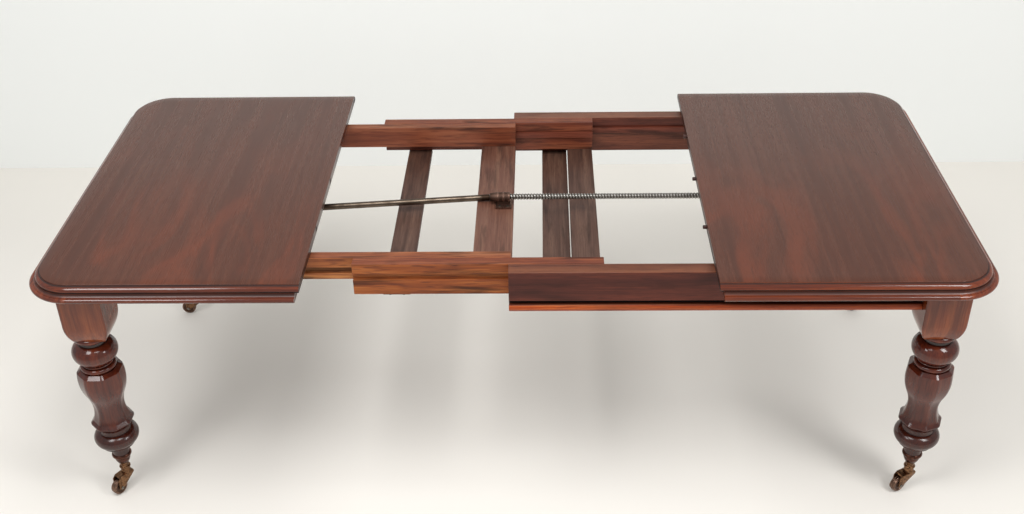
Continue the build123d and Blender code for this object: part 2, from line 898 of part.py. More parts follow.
with BuildPart() as nut_casting:
    slab(
        (boss_start - nut_plate_overhang, -nut_plate_front, left_low),
        (boss_end + nut_plate_overhang, nut_plate_back, left_low + nut_plate_thickness),
    )
    slab((boss_start, -web_thickness / 2, left_low), (boss_end, web_thickness / 2, screw_z))
    with BuildSketch(across_x(boss_start)):
        Circle(boss_radius)
    extrude(amount=boss_length)
    for ring_start in (boss_start, boss_end - boss_ring_width):
        with BuildSketch(across_x(ring_start)):
            Circle(boss_ring_radius)
        extrude(amount=boss_ring_width)
    with BuildSketch(across_x(cone_start)):
        Circle(cone_tip_radius)
    with BuildSketch(across_x(boss_start)):
        Circle(boss_radius)
    loft()
    with BuildSketch(rod_axis.offset(rod_length)):
        Circle(rod_lug_radius)
    extrude(amount=rod_tenon_length)
    with BuildSketch(rod_axis.offset(rod_length)):
        Circle(rod_tenon_radius + seat_clearance)
    extrude(amount=rod_tenon_length, mode=Mode.SUBTRACT)
    with BuildSketch(across_x(cone_start)):
        Circle(thread_radius + nut_clearance)
    extrude(amount=boss_end - cone_start, mode=Mode.SUBTRACT)
    for seat in nut_plate_seats():
        screw_hole(seat, nut_plate_thickness)
save(nut_casting, "nut_casting")

with BuildPart() as stay_rod:
    with BuildSketch(rod_axis):
        Circle(rod_radius)
    extrude(amount=rod_length)
    with BuildSketch(rod_axis.offset(rod_length)):
        Circle(rod_tenon_radius)
    extrude(amount=rod_tenon_length)
save(stay_rod, "stay_rod")

with BuildPart() as stay_bracket:
    half_plate = bracket_plate_size / 2
    slab(
        (-rail_inner, rod_foot.Y - half_plate, rod_foot.Z - half_plate),
        (-rail_inner + bracket_plate_thickness, rod_foot.Y + half_plate, rod_foot.Z + half_plate),
    )
    with BuildSketch(rod_axis):
        Circle(bracket_socket_radius)
    extrude(amount=bracket_socket_length)
    with BuildSketch(rod_axis.offset(bracket_plate_thickness - rod_foot_seat)):
        Circle(bracket_socket_radius)
    extrude(amount=rod_foot_seat)
    with BuildSketch(rod_axis):
        Circle(rod_radius + seat_clearance)
    extrude(amount=bracket_socket_length, mode=Mode.SUBTRACT)
    for seat in plate_seats("bracket"):
        screw_hole(seat, bracket_plate_thickness)
save(stay_bracket, "stay_bracket")


# Castors

def castor_cup(x, y):
    """Makes the brass cup that holds a leg's peg, with a hole in its floor for the swivel pin."""
    bore = swivel_pin_radius + seat_clearance
    inside = peg_radius + shank_clearance
    rim_low = cup_top - cup_rim_height
    with BuildPart() as cup:
        with BuildSketch(upright(x, y)):
            with BuildLine():
                Line((bore, cup_low), (cup_foot_radius, cup_low))
                ThreePointArc(
                    (cup_foot_radius, cup_low),
                    (cup_belly_radius, (cup_low + rim_low) / 2),
                    (cup_waist_radius, rim_low),
                )
                ThreePointArc(
                    (cup_waist_radius, rim_low),
                    (cup_rim_radius, (rim_low + cup_top) / 2),
                    (cup_lip_radius, cup_top),
                )
                Polyline(
                    (cup_lip_radius, cup_top),
                    (inside, cup_top),
                    (inside, peg_low),
                    (bore, peg_low),
                    (bore, cup_low),
                )
            make_face()
        revolve(axis=Axis((x, y, 0), (0, 0, 1)))
    return cup


def castor_horn(x, y, heading):
    """Makes the horn: a neck round the swivel pin, a crown, and two arms down to the axle."""
    flank = upright(x, y, heading)
    crown_high = crown_low + crown_thickness
    crown_middle = (castor_trail - crown_back) / 2
    crown_length = castor_trail + crown_back
    bead_middle = crown_high + neck_height / 2
    with BuildPart() as horn:
        for face in (-1, 1):
            with BuildSketch(flank.offset(face * arm_inner)):
                with Locations((castor_trail, wheel_radius)):
                    Circle(eye_radius)
                with Locations((crown_middle, crown_low + crown_thickness / 2)):
                    Rectangle(crown_length, crown_thickness)
                make_hull()
            extrude(amount=face * arm_thickness)
        with BuildSketch(flank.offset(-arm_inner)):
            with Locations((crown_middle, crown_low + crown_thickness / 2)):
                Rectangle(crown_length, crown_thickness)
        extrude(amount=2 * arm_inner)
        with BuildSketch(flank):
            with BuildLine():
                Polyline(
                    (neck_radius, bead_middle - neck_bead_height / 2),
                    (neck_radius, crown_low),
                    (0, crown_low),
                    (0, horn_top),
                    (neck_radius, horn_top),
                    (neck_radius, bead_middle + neck_bead_height / 2),
                )
                ThreePointArc(
                    (neck_radius, bead_middle + neck_bead_height / 2),
                    (neck_bead_radius, bead_middle),
                    (neck_radius, bead_middle - neck_bead_height / 2),
                )
            make_face()
        revolve(axis=Axis((x, y, 0), (0, 0, 1)))
        with BuildSketch(Plane.XY.offset(crown_low)):
            with Locations((x, y)):
                Circle(swivel_pin_radius + axle_clearance)
        extrude(amount=horn_top - crown_low, mode=Mode.SUBTRACT)
        with BuildSketch(flank.offset(-arm_outer)):
            with Locations((castor_trail, wheel_radius)):
                Circle(axle_radius + seat_clearance)
        extrude(amount=2 * arm_outer, mode=Mode.SUBTRACT)
    return horn


def castor_axle(x, y, heading):
    """Makes a riveted axle through the two arms of a horn."""
    flank = upright(x, y, heading)
    with BuildPart() as axle:
        with BuildSketch(flank.offset(-arm_outer)):
            with Locations((castor_trail, wheel_radius)):
                Circle(axle_radius)
        extrude(amount=2 * arm_outer)
        for face in (-1, 1):
            with BuildSketch(flank.offset(face * arm_outer)):
                with Locations((castor_trail, wheel_radius)):
                    Circle(axle_head_radius)
            extrude(amount=face * axle_head_height)
    return axle


def castor_wheel(x, y, heading):
    """Makes a wheel with a rounded tread and both its sides hollowed between hub and rim."""
    flank = upright(x, y, heading)
    with BuildPart() as wheel:
        with BuildSketch(flank.offset(-wheel_width / 2)):
            with Locations((castor_trail, wheel_radius)):
                Circle(wheel_radius)
        extrude(amount=wheel_width)
        fillet(edges().filter_by(GeomType.CIRCLE), radius=wheel_fillet)
        for face in (-1, 1):
            with BuildSketch(flank.offset(face * wheel_width / 2)):
                with Locations((castor_trail, wheel_radius)):
                    Circle(wheel_radius - wheel_rim)
                    Circle(wheel_hub_radius, mode=Mode.SUBTRACT)
            extrude(amount=-face * wheel_recess_depth, mode=Mode.SUBTRACT)
        with BuildSketch(flank.offset(-wheel_width / 2)):
            with Locations((castor_trail, wheel_radius)):
                Circle(axle_radius + axle_clearance)
        extrude(amount=wheel_width, mode=Mode.SUBTRACT)
    return wheel


for end_name, end in ENDS.items():
    for side_name, side in SIDES.items():
        corner = f"{end_name}_{side_name}"
        place = (end * leg_x, side * leg_y)
        heading = castor_headings[end_name, side_name]
        save(castor_cup(*place), f"{corner}_castor_cup")
        save(castor_horn(*place, heading), f"{corner}_castor_horn")
        save(castor_axle(*place, heading), f"{corner}_castor_axle")
        save(castor_wheel(*place, heading), f"{corner}_castor_wheel")
    with BuildPart() as castor_pins:
        for side in SIDES.values():
            with BuildSketch(Plane.XY.offset(crown_low - swivel_play)):
                with Locations((end * leg_x, side * leg_y)):
                    Circle(swivel_pin_radius)
            extrude(amount=peg_low + swivel_pin_bite - crown_low + swivel_play)
            with BuildSketch(Plane.XY.offset(crown_low - swivel_play)):
                with Locations((end * leg_x, side * leg_y)):
                    Circle(swivel_pin_head_radius)
            extrude(amount=-swivel_pin_head_height)
    save(castor_pins, f"{end_name}_castor_pins")
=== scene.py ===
"""Wind-out extending dining table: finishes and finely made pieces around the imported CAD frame."""

import json
import logging
import math
from collections.abc import Callable
from dataclasses import dataclass, field
from enum import Enum
from functools import partial
from typing import Any

import bmesh
import bpy
import numpy as np
from mathutils import Matrix


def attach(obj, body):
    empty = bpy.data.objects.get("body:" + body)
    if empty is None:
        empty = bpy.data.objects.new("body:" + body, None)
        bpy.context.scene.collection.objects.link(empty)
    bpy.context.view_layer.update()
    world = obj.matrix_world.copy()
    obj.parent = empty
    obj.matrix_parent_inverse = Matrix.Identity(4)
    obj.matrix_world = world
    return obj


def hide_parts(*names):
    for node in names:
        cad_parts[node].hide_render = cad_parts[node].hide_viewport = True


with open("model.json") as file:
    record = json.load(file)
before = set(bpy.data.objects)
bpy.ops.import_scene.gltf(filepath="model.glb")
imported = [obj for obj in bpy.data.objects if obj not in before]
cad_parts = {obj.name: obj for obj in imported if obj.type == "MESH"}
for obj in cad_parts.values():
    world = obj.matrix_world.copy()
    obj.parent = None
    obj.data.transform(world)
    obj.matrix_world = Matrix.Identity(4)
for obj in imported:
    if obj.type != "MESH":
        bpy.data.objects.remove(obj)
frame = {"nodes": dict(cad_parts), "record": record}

Array = np.ndarray
Pair = tuple[float, float]
Triple = tuple[float, float, float]
Palette = tuple[str, str, str]
Material = bpy.types.Material
Piece = bpy.types.Object
Socket = bpy.types.NodeSocket
Adder = Callable[..., Socket]
MM = 0.001
UP = np.array([0.0, 0.0, 1.0])
ALONG = [1, 0, 0]
# A direction with this share along an axis counts as pointing along it
NEARLY = 0.9
# Points closer than this, in metres, are one point
WELD = 1e-6
LOG = logging.getLogger("dining_table")
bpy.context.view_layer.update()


class Grain(Enum):
    """The axis along which a board's fibres run."""

    ALONG_X = 0
    ALONG_Y = 1
    ALONG_Z = 2


class Section(Enum):
    """Cross-sections of a leg, with the number of flats round it."""

    ROUND = 0
    SQUARE = 4
    OCTAGON = 8


class Sign(Enum):
    """A direction from the middle of the table, with the sign of its coordinate."""

    @property
    def word(self) -> str:
        """The name as it stands in node names."""
        return self.name.lower()


class End(Sign):
    """The two ends of the table, along X."""

    LEFT = -1
    RIGHT = 1


class Side(Sign):
    """The two long sides of the table, along Y."""

    FRONT = -1
    BACK = 1


# Colour and nodes


def linear(code: str) -> tuple[float, float, float, float]:
    """Turns an sRGB hex colour to linear light.

    Args:
        code: Six hex digits, such as "5a2f20".

    Returns:
        Linear red, green, blue and an alpha of one.
    """
    share = np.array([int(code[k : k + 2], 16) for k in (0, 2, 4)]) / 255.0
    light = np.where(share <= 0.04045, share / 12.92, ((share + 0.055) / 1.055) ** 2.4)
    return (float(light[0]), float(light[1]), float(light[2]), 1.0)


def add_node(
    tree: bpy.types.NodeTree, kind: str, inputs: dict[Any, Any] | None = None, out: Any = 0, **settings: Any
) -> Socket | None:
    """Adds a shader node, sets it up and links it.

    Args:
        tree: The node tree that takes the node.
        kind: The node's type name after "ShaderNode".
        inputs: Socket names or numbers, each with a value or the output socket to link.
        out: The name or number of the output socket that is given back.
        settings: Properties to set; "stops" holds a colour ramp's (place, colour) pairs.

    Returns:
        The output socket, or nothing from a node that has none.
    """
    node = tree.nodes.new("ShaderNode" + kind)
    for name, value in settings.items():
        if name == "stops":
            ramp = node.color_ramp.elements
            for index, (spot, colour) in enumerate(value):
                stop = ramp[index] if index < 2 else ramp.new(spot)
                stop.position, stop.color = spot, colour
        else:
            setattr(node, name, value)
    for name, value in (inputs or {}).items():
        if isinstance(value, Socket):
            tree.links.new(value, node.inputs[name])
        else:
            node.inputs[name].default_value = value
    return node.outputs[out] if node.outputs else None


def new_material(name: str) -> tuple[Material, Adder]:
    """Makes a material with no nodes yet.

    Args:
        name: The material's name.

    Returns:
        The material, and add_node for its own tree.
    """
    material = bpy.data.materials.new(name)
    material.use_nodes = True
    material.node_tree.nodes.clear()
    return material, partial(add_node, material.node_tree)


def ends(low: float, high: float, first: float = 0.0, last: float = 1.0) -> dict[str, float]:
    """Names the ends of a range and those of the range that it is mapped to."""
    return {"From Min": low, "From Max": high, "To Min": first, "To Max": last}


def stops(palette: Palette) -> list[tuple[float, tuple[float, ...]]]:
    """Gives a palette's place on a ramp: the noise lies about one half, mostly within these stops."""
    deep, body, light = (linear(code) for code in palette)
    return [(0.34, deep), (0.66, light), (0.5, body)]


@dataclass(frozen=True)
class Timber:
    """A hardwood: broad figure, growth bands, fibres and short dark pores along one grain.

    Sizes are in millimetres. Mahogany's pores are about 0.2 mm wide and its fibres finer still,
    too fine to show from across a room, so both are drawn many times as coarse. A palette is the
    wood's deepest, usual and lightest tone. The mesh attribute "bare" brings in the palette of wood
    that is rubbed or was never polished, and the grime mark a near-black that stands for dirt and for
    painted shade in corners, grooves, quirks, hollows and under edges. A stain is old oil in streaks.
    The flame grows from the first to the second place of its reach along Y.
    The offset moves the patterns, in cells.
    """

    name: str
    palette: Palette
    grain: Grain
    figure: float = 70.0
    figure_length: float = 900.0
    band: float = 26.0
    band_share: float = 0.45
    fibre: float = 3.0
    fibre_length: float = 110.0
    fibre_share: float = 0.28
    pore: float = 2.2
    pore_length: float = 34.0
    pore_depth: float = 0.4
    warp: float = 0.35
    roughness: float = 0.3
    gloss: float = 0.5
    bump: float = 0.12
    bump_height: float = 0.4
    rubbed: Palette | None = None
    stain: float = 0.0
    stain_cell: Pair = (170.0, 20.0)
    # Near-black for dirt and for painted shade in corners, grooves, quirks, hollows and under edges
    dirt: str = "150805"
    dirt_roughness: float = 0.7
    flame: str = ""
    flame_cell: Pair = (420.0, 130.0)
    flame_reach: Pair = (200.0, -400.0)
    offset: Triple = (0.0, 0.0, 0.0)

    def pattern(self, node: Adder, along: float, across: float, detail: float, warp: float = 0.0) -> Socket:
        """Gives a cloudy pattern whose cells are drawn out along the grain.

        Args:
            node: Adds a node to the material.
            along: A cell's length along the grain in millimetres.
            across: Its width across the grain in millimetres.
            detail: How many finer layers it has.
            warp: How much it is distorted.

        Returns:
            The pattern, about one half on average.
        """
        scale = [1.0 / (across * MM)] * 3
        scale[self.grain.value] = 1.0 / (along * MM)
        spot = node("TexCoord", out="Object")
        spot = node("Mapping", {"Vector": spot, "Location": self.offset, "Scale": scale})
        cells = {"Vector": spot, "Scale": 1.0, "Detail": detail, "Distortion": warp}
        return node("TexNoise", cells, out="Fac")

    def flamed(self, node: Adder, colour: Socket) -> Socket:
        """Lays red flame figure over the part of a top that is towards the front.

        Args:
            node: Adds a node to the material.
            colour: The plain wood's colour.

        Returns:
            The colour with the flame in it.
        """
        smooth = {"interpolation_type": "SMOOTHSTEP"}
        start, full = (y * MM for y in self.flame_reach)
        depth = node("SeparateXYZ", {"Vector": node("TexCoord", out="Object")}, out="Y")
        near = node("MapRange", {"Value": depth, **ends(start, full, 0.15, 0.8)}, **smooth)
        curl = self.pattern(node, *self.flame_cell, 3.0, 1.1)
        patch = node("MapRange", {"Value": curl, **ends(0.42, 0.66)}, **smooth)
        share = node("Math", {0: near, 1: patch}, operation="MULTIPLY")
        return node("Mix", {0: share, 6: colour, 7: linear(self.flame)}, 2, data_type="RGBA")

    def build(self) -> Material:
        """Makes the material.

        Returns:
            The finished material.
        """
        material, node = new_material(self.name)
        figure = self.pattern(node, self.figure_length, self.figure, 4.0, self.warp)
        bands = self.pattern(node, 1.7 * self.figure_length, self.band, 2.0, 2 * self.warp)
        fibres = self.pattern(node, self.fibre_length, self.fibre, 3.0)
        pores = self.pattern(node, self.pore_length, self.pore, 1.0)
        broad = node("Mix", {0: self.band_share, 2: figure, 3: bands}, data_type="FLOAT")
        tone = node("Mix", {0: self.fibre_share, 2: broad, 3: fibres}, data_type="FLOAT")
        colour = node("ValToRGB", {"Fac": tone}, stops=stops(self.palette))
        if self.rubbed:
            bare = node("Attribute", out="Fac", attribute_name="bare")
            wear = node("MapRange", {"Value": broad, **ends(0.35, 0.6, 0.55)})
            bare = node("Math", {0: bare, 1: wear}, operation="MULTIPLY")
            pale = node("ValToRGB", {"Fac": tone}, stops=stops(self.rubbed))
            colour = node("Mix", {0: bare, 6: colour, 7: pale}, 2, data_type="RGBA")
        if self.flame:
            colour = self.flamed(node, colour)
        pits = node("MapRange", {"Value": pores, **ends(0.36, 0.44, self.pore_depth, 0.0)})
        colour = node("Mix", {0: pits, 6: colour, 7: linear(self.palette[0])}, 2, data_type="RGBA")
        grime = node("Attribute", out="Fac", attribute_name="grime")
        if self.stain:
            spots = self.pattern(node, *self.stain_cell, 8.0, 0.3)
            oil = node("MapRange", {"Value": spots, **ends(0.52, 0.68, 0.0, self.stain)})
            grime = node("Math", {0: grime, 1: oil}, operation="MAXIMUM")
        # Mixes in the near-black by the grime mark: dirt, and painted shade in grooves, quirks and hollows
        colour = node("Mix", {0: grime, 6: colour, 7: linear(self.dirt)}, 2, data_type="RGBA")
        polish = ends(0.3, 0.7, self.roughness + 0.05, self.roughness - 0.04)
        rough = node("MapRange", {"Value": tone, **polish})
        rough = node("Mix", {0: grime, 2: rough, 3: self.dirt_roughness}, data_type="FLOAT")
        height = node("Math", {0: fibres, 1: pits}, operation="SUBTRACT")
        bump = node("Bump", {"Strength": self.bump, "Distance": self.bump_height * MM, "Height": height})
        skin = {"Base Color": colour, "Roughness": rough, "Normal": bump, "Specular IOR Level": self.gloss}
        node("OutputMaterial", {"Surface": node("BsdfPrincipled", skin)})
        return material


@dataclass(frozen=True)
class OldMetal:
    """A worn metal with a dull film in patches and in its hollows, sizes in millimetres."""

    name: str
    bright: str
    dull: str
    patch: float = 9.0
    roughness: float = 0.38
    film: float = 0.55
    pits: float = 1.6
    bump: float = 0.25
    bump_height: float = 0.3

    def build(self) -> Material:
        """Makes the material.

        Returns:
            The finished material.
        """
        material, node = new_material(self.name)
        spot = node("TexCoord", out="Object")
        patches, specks = (
            node("TexNoise", {"Vector": spot, "Scale": 1.0 / (size * MM), "Detail": 4.0}, out="Fac")
            for size in (self.patch, self.pits)
        )
        film = node("MapRange", {"Value": patches, **ends(0.4, 0.62, 0.0, self.film)})
        grime = node("Attribute", out="Fac", attribute_name="grime")
        share = node("Math", {0: film, 1: grime}, operation="MAXIMUM")
        mixed = {0: share, 6: linear(self.bright), 7: linear(self.dull)}
        colour = node("Mix", mixed, 2, data_type="RGBA")
        dulled = ends(0.0, 1.0, self.roughness - 0.1, self.roughness + 0.18)
        rough = node("MapRange", {"Value": share, **dulled})
        bump = node("Bump", {"Strength": self.bump, "Distance": self.bump_height * MM, "Height": specks})
        skin = {"Base Color": colour, "Roughness": rough, "Normal": bump, "Metallic": 1.0}
        node("OutputMaterial", {"Surface": node("BsdfPrincipled", skin)})
        return material


# Surfaces


class Shell:
    """The points and faces of one piece, gathered surface by surface, with its marks of grime and painted
    shade, and of bare wood.
    """

    def __init__(self) -> None:
        """Starts with nothing."""
        self.points: list[Array] = []
        self.faces: list[list[int]] = []
        self.marks: dict[str, list[Array]] = {"grime": [], "bare": []}
        self.count = 0

    def add(self, points: Array, **marks: Any) -> Array:
        """Adds loose points.

        Args:
            points: An array of points, three numbers in the last axis.
            marks: How much grime with painted shade, or bare wood, there is at each point.

        Returns:
            The points' numbers, in the array's shape.
        """
        shape = points.shape[:-1]
        numbers = np.arange(self.count, self.count + int(np.prod(shape))).reshape(shape)
        self.points.append(points.reshape(-1, 3))
        for name, kept in self.marks.items():
            kept.append(np.broadcast_to(marks.get(name, 0.0), shape).ravel())
        self.count += numbers.size
        return numbers

    def grid(self, surface: Array, closed: bool = True, caps: bool = True, **marks: Any) -> Array:
        """Adds a surface that is a grid of points, with quads between neighbours.

        Args:
            surface: Rows of points, one row for each station along the piece.
            closed: Whether each row runs round to its own start.
            caps: Whether the first and last rows are filled.
            marks: How much grime with painted shade, or bare wood, there is at each point.

        Returns:
            The points' numbers, row by row.
        """
        numbers = self.add(surface, **marks)
        ahead = np.roll(numbers, -1, axis=1)
        quads = np.stack([numbers[:-1], ahead[:-1], ahead[1:], numbers[1:]], axis=-1)
        self.faces += (quads if closed else quads[:, :-1]).reshape(-1, 4).tolist()
        if caps:
            self.faces += [numbers[0].tolist(), numbers[-1].tolist()]
        return numbers

    def block(self, low: Triple, high: Triple, **marks: Any) -> None:
        """Adds a box between two opposite corners, a rectangle across X carried from end to end."""
        loop = np.array([[low[1], low[2]], [high[1], low[2]], [high[1], high[2]], [low[1], high[2]]])
        self.grid(carried([low[0], high[0]], loop), **marks)

    def build(self, name: str, sharp: float = 32.0, bevel: float = 0.0) -> Piece:
        """Makes the object, its faces outwards and its edges sharp past an angle.

        Args:
            name: The piece's name.
            sharp: The angle in degrees past which an edge stays sharp.
            bevel: The width in millimetres to which sharp edges are eased, or nothing.

        Returns:
            The new object.
        """
        mesh = bpy.data.meshes.new(name)
        mesh.from_pydata((np.concatenate(self.points) * MM).tolist(), [], self.faces)
        for mark, kept in self.marks.items():
            layer = mesh.attributes.new(mark, "FLOAT", "POINT")
            layer.data.foreach_set("value", np.concatenate(kept).astype(np.float32))
        work = bmesh.new()
        work.from_mesh(mesh)
        bmesh.ops.remove_doubles(work, verts=work.verts, dist=WELD)
        bmesh.ops.recalc_face_normals(work, faces=work.faces)
        work.to_mesh(mesh)
        work.free()
        mesh.polygons.foreach_set("use_smooth", np.ones(len(mesh.polygons), bool))
        mesh.set_sharp_from_angle(angle=math.radians(sharp))
        piece = bpy.data.objects.new(name, mesh)
        bpy.context.scene.collection.objects.link(piece)
        if bevel:
            eased = piece.modifiers.new("eased_edges", "BEVEL")
            eased.width, eased.segments = bevel * MM, 2
            eased.limit_method, eased.angle_limit = "ANGLE", math.radians(sharp)
        return piece


def carried(places: Any, loop: Array) -> Array:
    """Gives a surface along X: a loop of Y and Z set up at each place.

    Args:
        places: The X of each station.
        loop: Rows of Y and Z, the same for all stations or for each its own.

    Returns:
        A grid with one row for each station.
    """
    surface = np.empty((len(places), loop.shape[-2], 3))
    surface[..., 0] = np.array(places)[:, None]
    surface[..., 1:] = loop
    return surface


def arc(centre: Any, radius: float, start: float, stop: float, count: int) -> Array:
    """Gives a circle's points from one angle to another: centre plus radius times cosine and sine."""
    angle = np.radians(np.linspace(start, stop, count))
    return np.stack([centre[0] + radius * np.cos(angle), centre[1] + radius * np.sin(angle)], axis=-1)


def swung(centre: Array, points: list[Array], count: int) -> Array:
    """Gives the arc about a centre from the first of some points, by way of the others, to the last."""
    turns = np.unwrap([math.atan2(*(p - centre)[::-1]) for p in points])
    return arc(centre, float(np.linalg.norm(points[0] - centre)), *np.degrees(turns[[0, -1]]), count)


def bow(first: Any, middle: Any, last: Any, count: int = 13) -> Array:
    """Gives points of the circle through three points, from the first by the middle to the last.

    The centre is where the perpendiculars at the middles of the two chords cross.

    Args:
        first: The first point.
        middle: A point between.
        last: The last point.
        count: How many points.

    Returns:
        The points, two numbers each.
    """
    a, b, c = (np.array(p, float) for p in (first, middle, last))
    centre = np.linalg.solve(2 * np.array([b - a, c - a]), np.array([b @ b - a @ a, c @ c - a @ a]))
    return swung(centre, [a, b, c], count)


def bulge(edge: float, low: float, wide: float, high: float, count: int = 13) -> Array:
    """Gives the bow that starts and ends at one radius and is widest half way up."""
    return bow((edge, low), (wide, (low + high) / 2), (edge, high), count)


def tangent_bow(start: Array, heading: Array, last: Pair, count: int) -> Array:
    """Gives points of the circle that leaves a point along a heading and ends at another point.

    Its radius is the square of the chord over twice the chord's share across the heading.

    Args:
        start: The first point.
        heading: The direction there, of length one.
        last: The last point.
        count: How many points.

    Returns:
        The points, two numbers each.
    """
    across = np.array([-heading[1], heading[0]])
    chord = np.array(last, float) - start
    centre = start + chord @ chord / (2 * chord @ across) * across
    return swung(centre, [start, np.array(last, float)], count)


def turned(profile: Array, origin: Any, axis: Any, count: int = 64) -> Array:
    """Gives a turned surface: each profile point's radius carried round an axis at its height.

    Args:
        profile: Rows of radius and height along the axis.
        origin: A point of the axis.
        axis: The axis direction.
        count: How many points go round.

    Returns:
        A grid with one row for each profile point.
    """
    axis = np.array(axis, float) / np.linalg.norm(axis)
    aside = np.cross(axis, UP if abs(axis[2]) < NEARLY else ALONG)
    aside /= np.linalg.norm(aside)
    angle = np.linspace(0, 2 * math.pi, count, endpoint=False)
    ring = np.cos(angle)[:, None] * aside + np.sin(angle)[:, None] * np.cross(axis, aside)
    return np.array(origin, float) + profile[:, :1, None] * ring[None] + profile[:, 1:2, None] * axis


def hollows(profile: Array, reach: int = 9, depth: float = 7.0) -> Array:
    """Tells where a turned profile is painted dark, for dirt and shade: the mean radius near a point less
    the point's own.

    Args:
        profile: Rows of radius and height.
        reach: How many millimetres up and down count as near.
        depth: The difference in millimetres at which a hollow is painted fully dark.

    Returns:
        A share from none to one for each row.
    """
    height = np.arange(profile[0, 1], profile[-1, 1] + 1.0)
    radius = np.interp(height, profile[:, 1], profile[:, 0])
    weight = np.hanning(2 * reach + 3)[1:-1]
    mean = np.convolve(np.pad(radius, reach, mode="edge"), weight / weight.sum(), "valid")
    return np.clip((np.interp(profile[:, 1], height, mean) - profile[:, 0]) / depth, 0.0, 1.0)


def mark_faces(piece: Piece, mark: str, values: Array) -> None:
    """Puts a mark on a piece's faces in place of the one on its points.

    Args:
        piece: The object.
        mark: The mark's name.
        values: Its value on each face.
    """
    piece.data.attributes.remove(piece.data.attributes[mark])
    layer = piece.data.attributes.new(mark, "FLOAT", "FACE")
    layer.data.foreach_set("value", values.astype(np.float32))


def dress(piece: Piece, material: Material) -> None:
    """Gives a piece one material in place of what it had."""
    piece.data.materials.clear()
    piece.data.materials.append(material)


def place(piece: Piece, body: str, material: Material, node: str) -> Piece:
    """Dresses a new piece, sets it on its body and lets it stand for a CAD node.

    Args:
        piece: The object.
        body: The CAD body that it moves with.
        material: Its material.
        node: The CAD node that it stands for.

    Returns:
        The same object.
    """
    dress(piece, material)
    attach(piece, body)
    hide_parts(node)
    LOG.info("%s rides on %s with %d faces", piece.name, body, len(piece.data.polygons))
    return piece


# Sub-assemblies, in millimetres


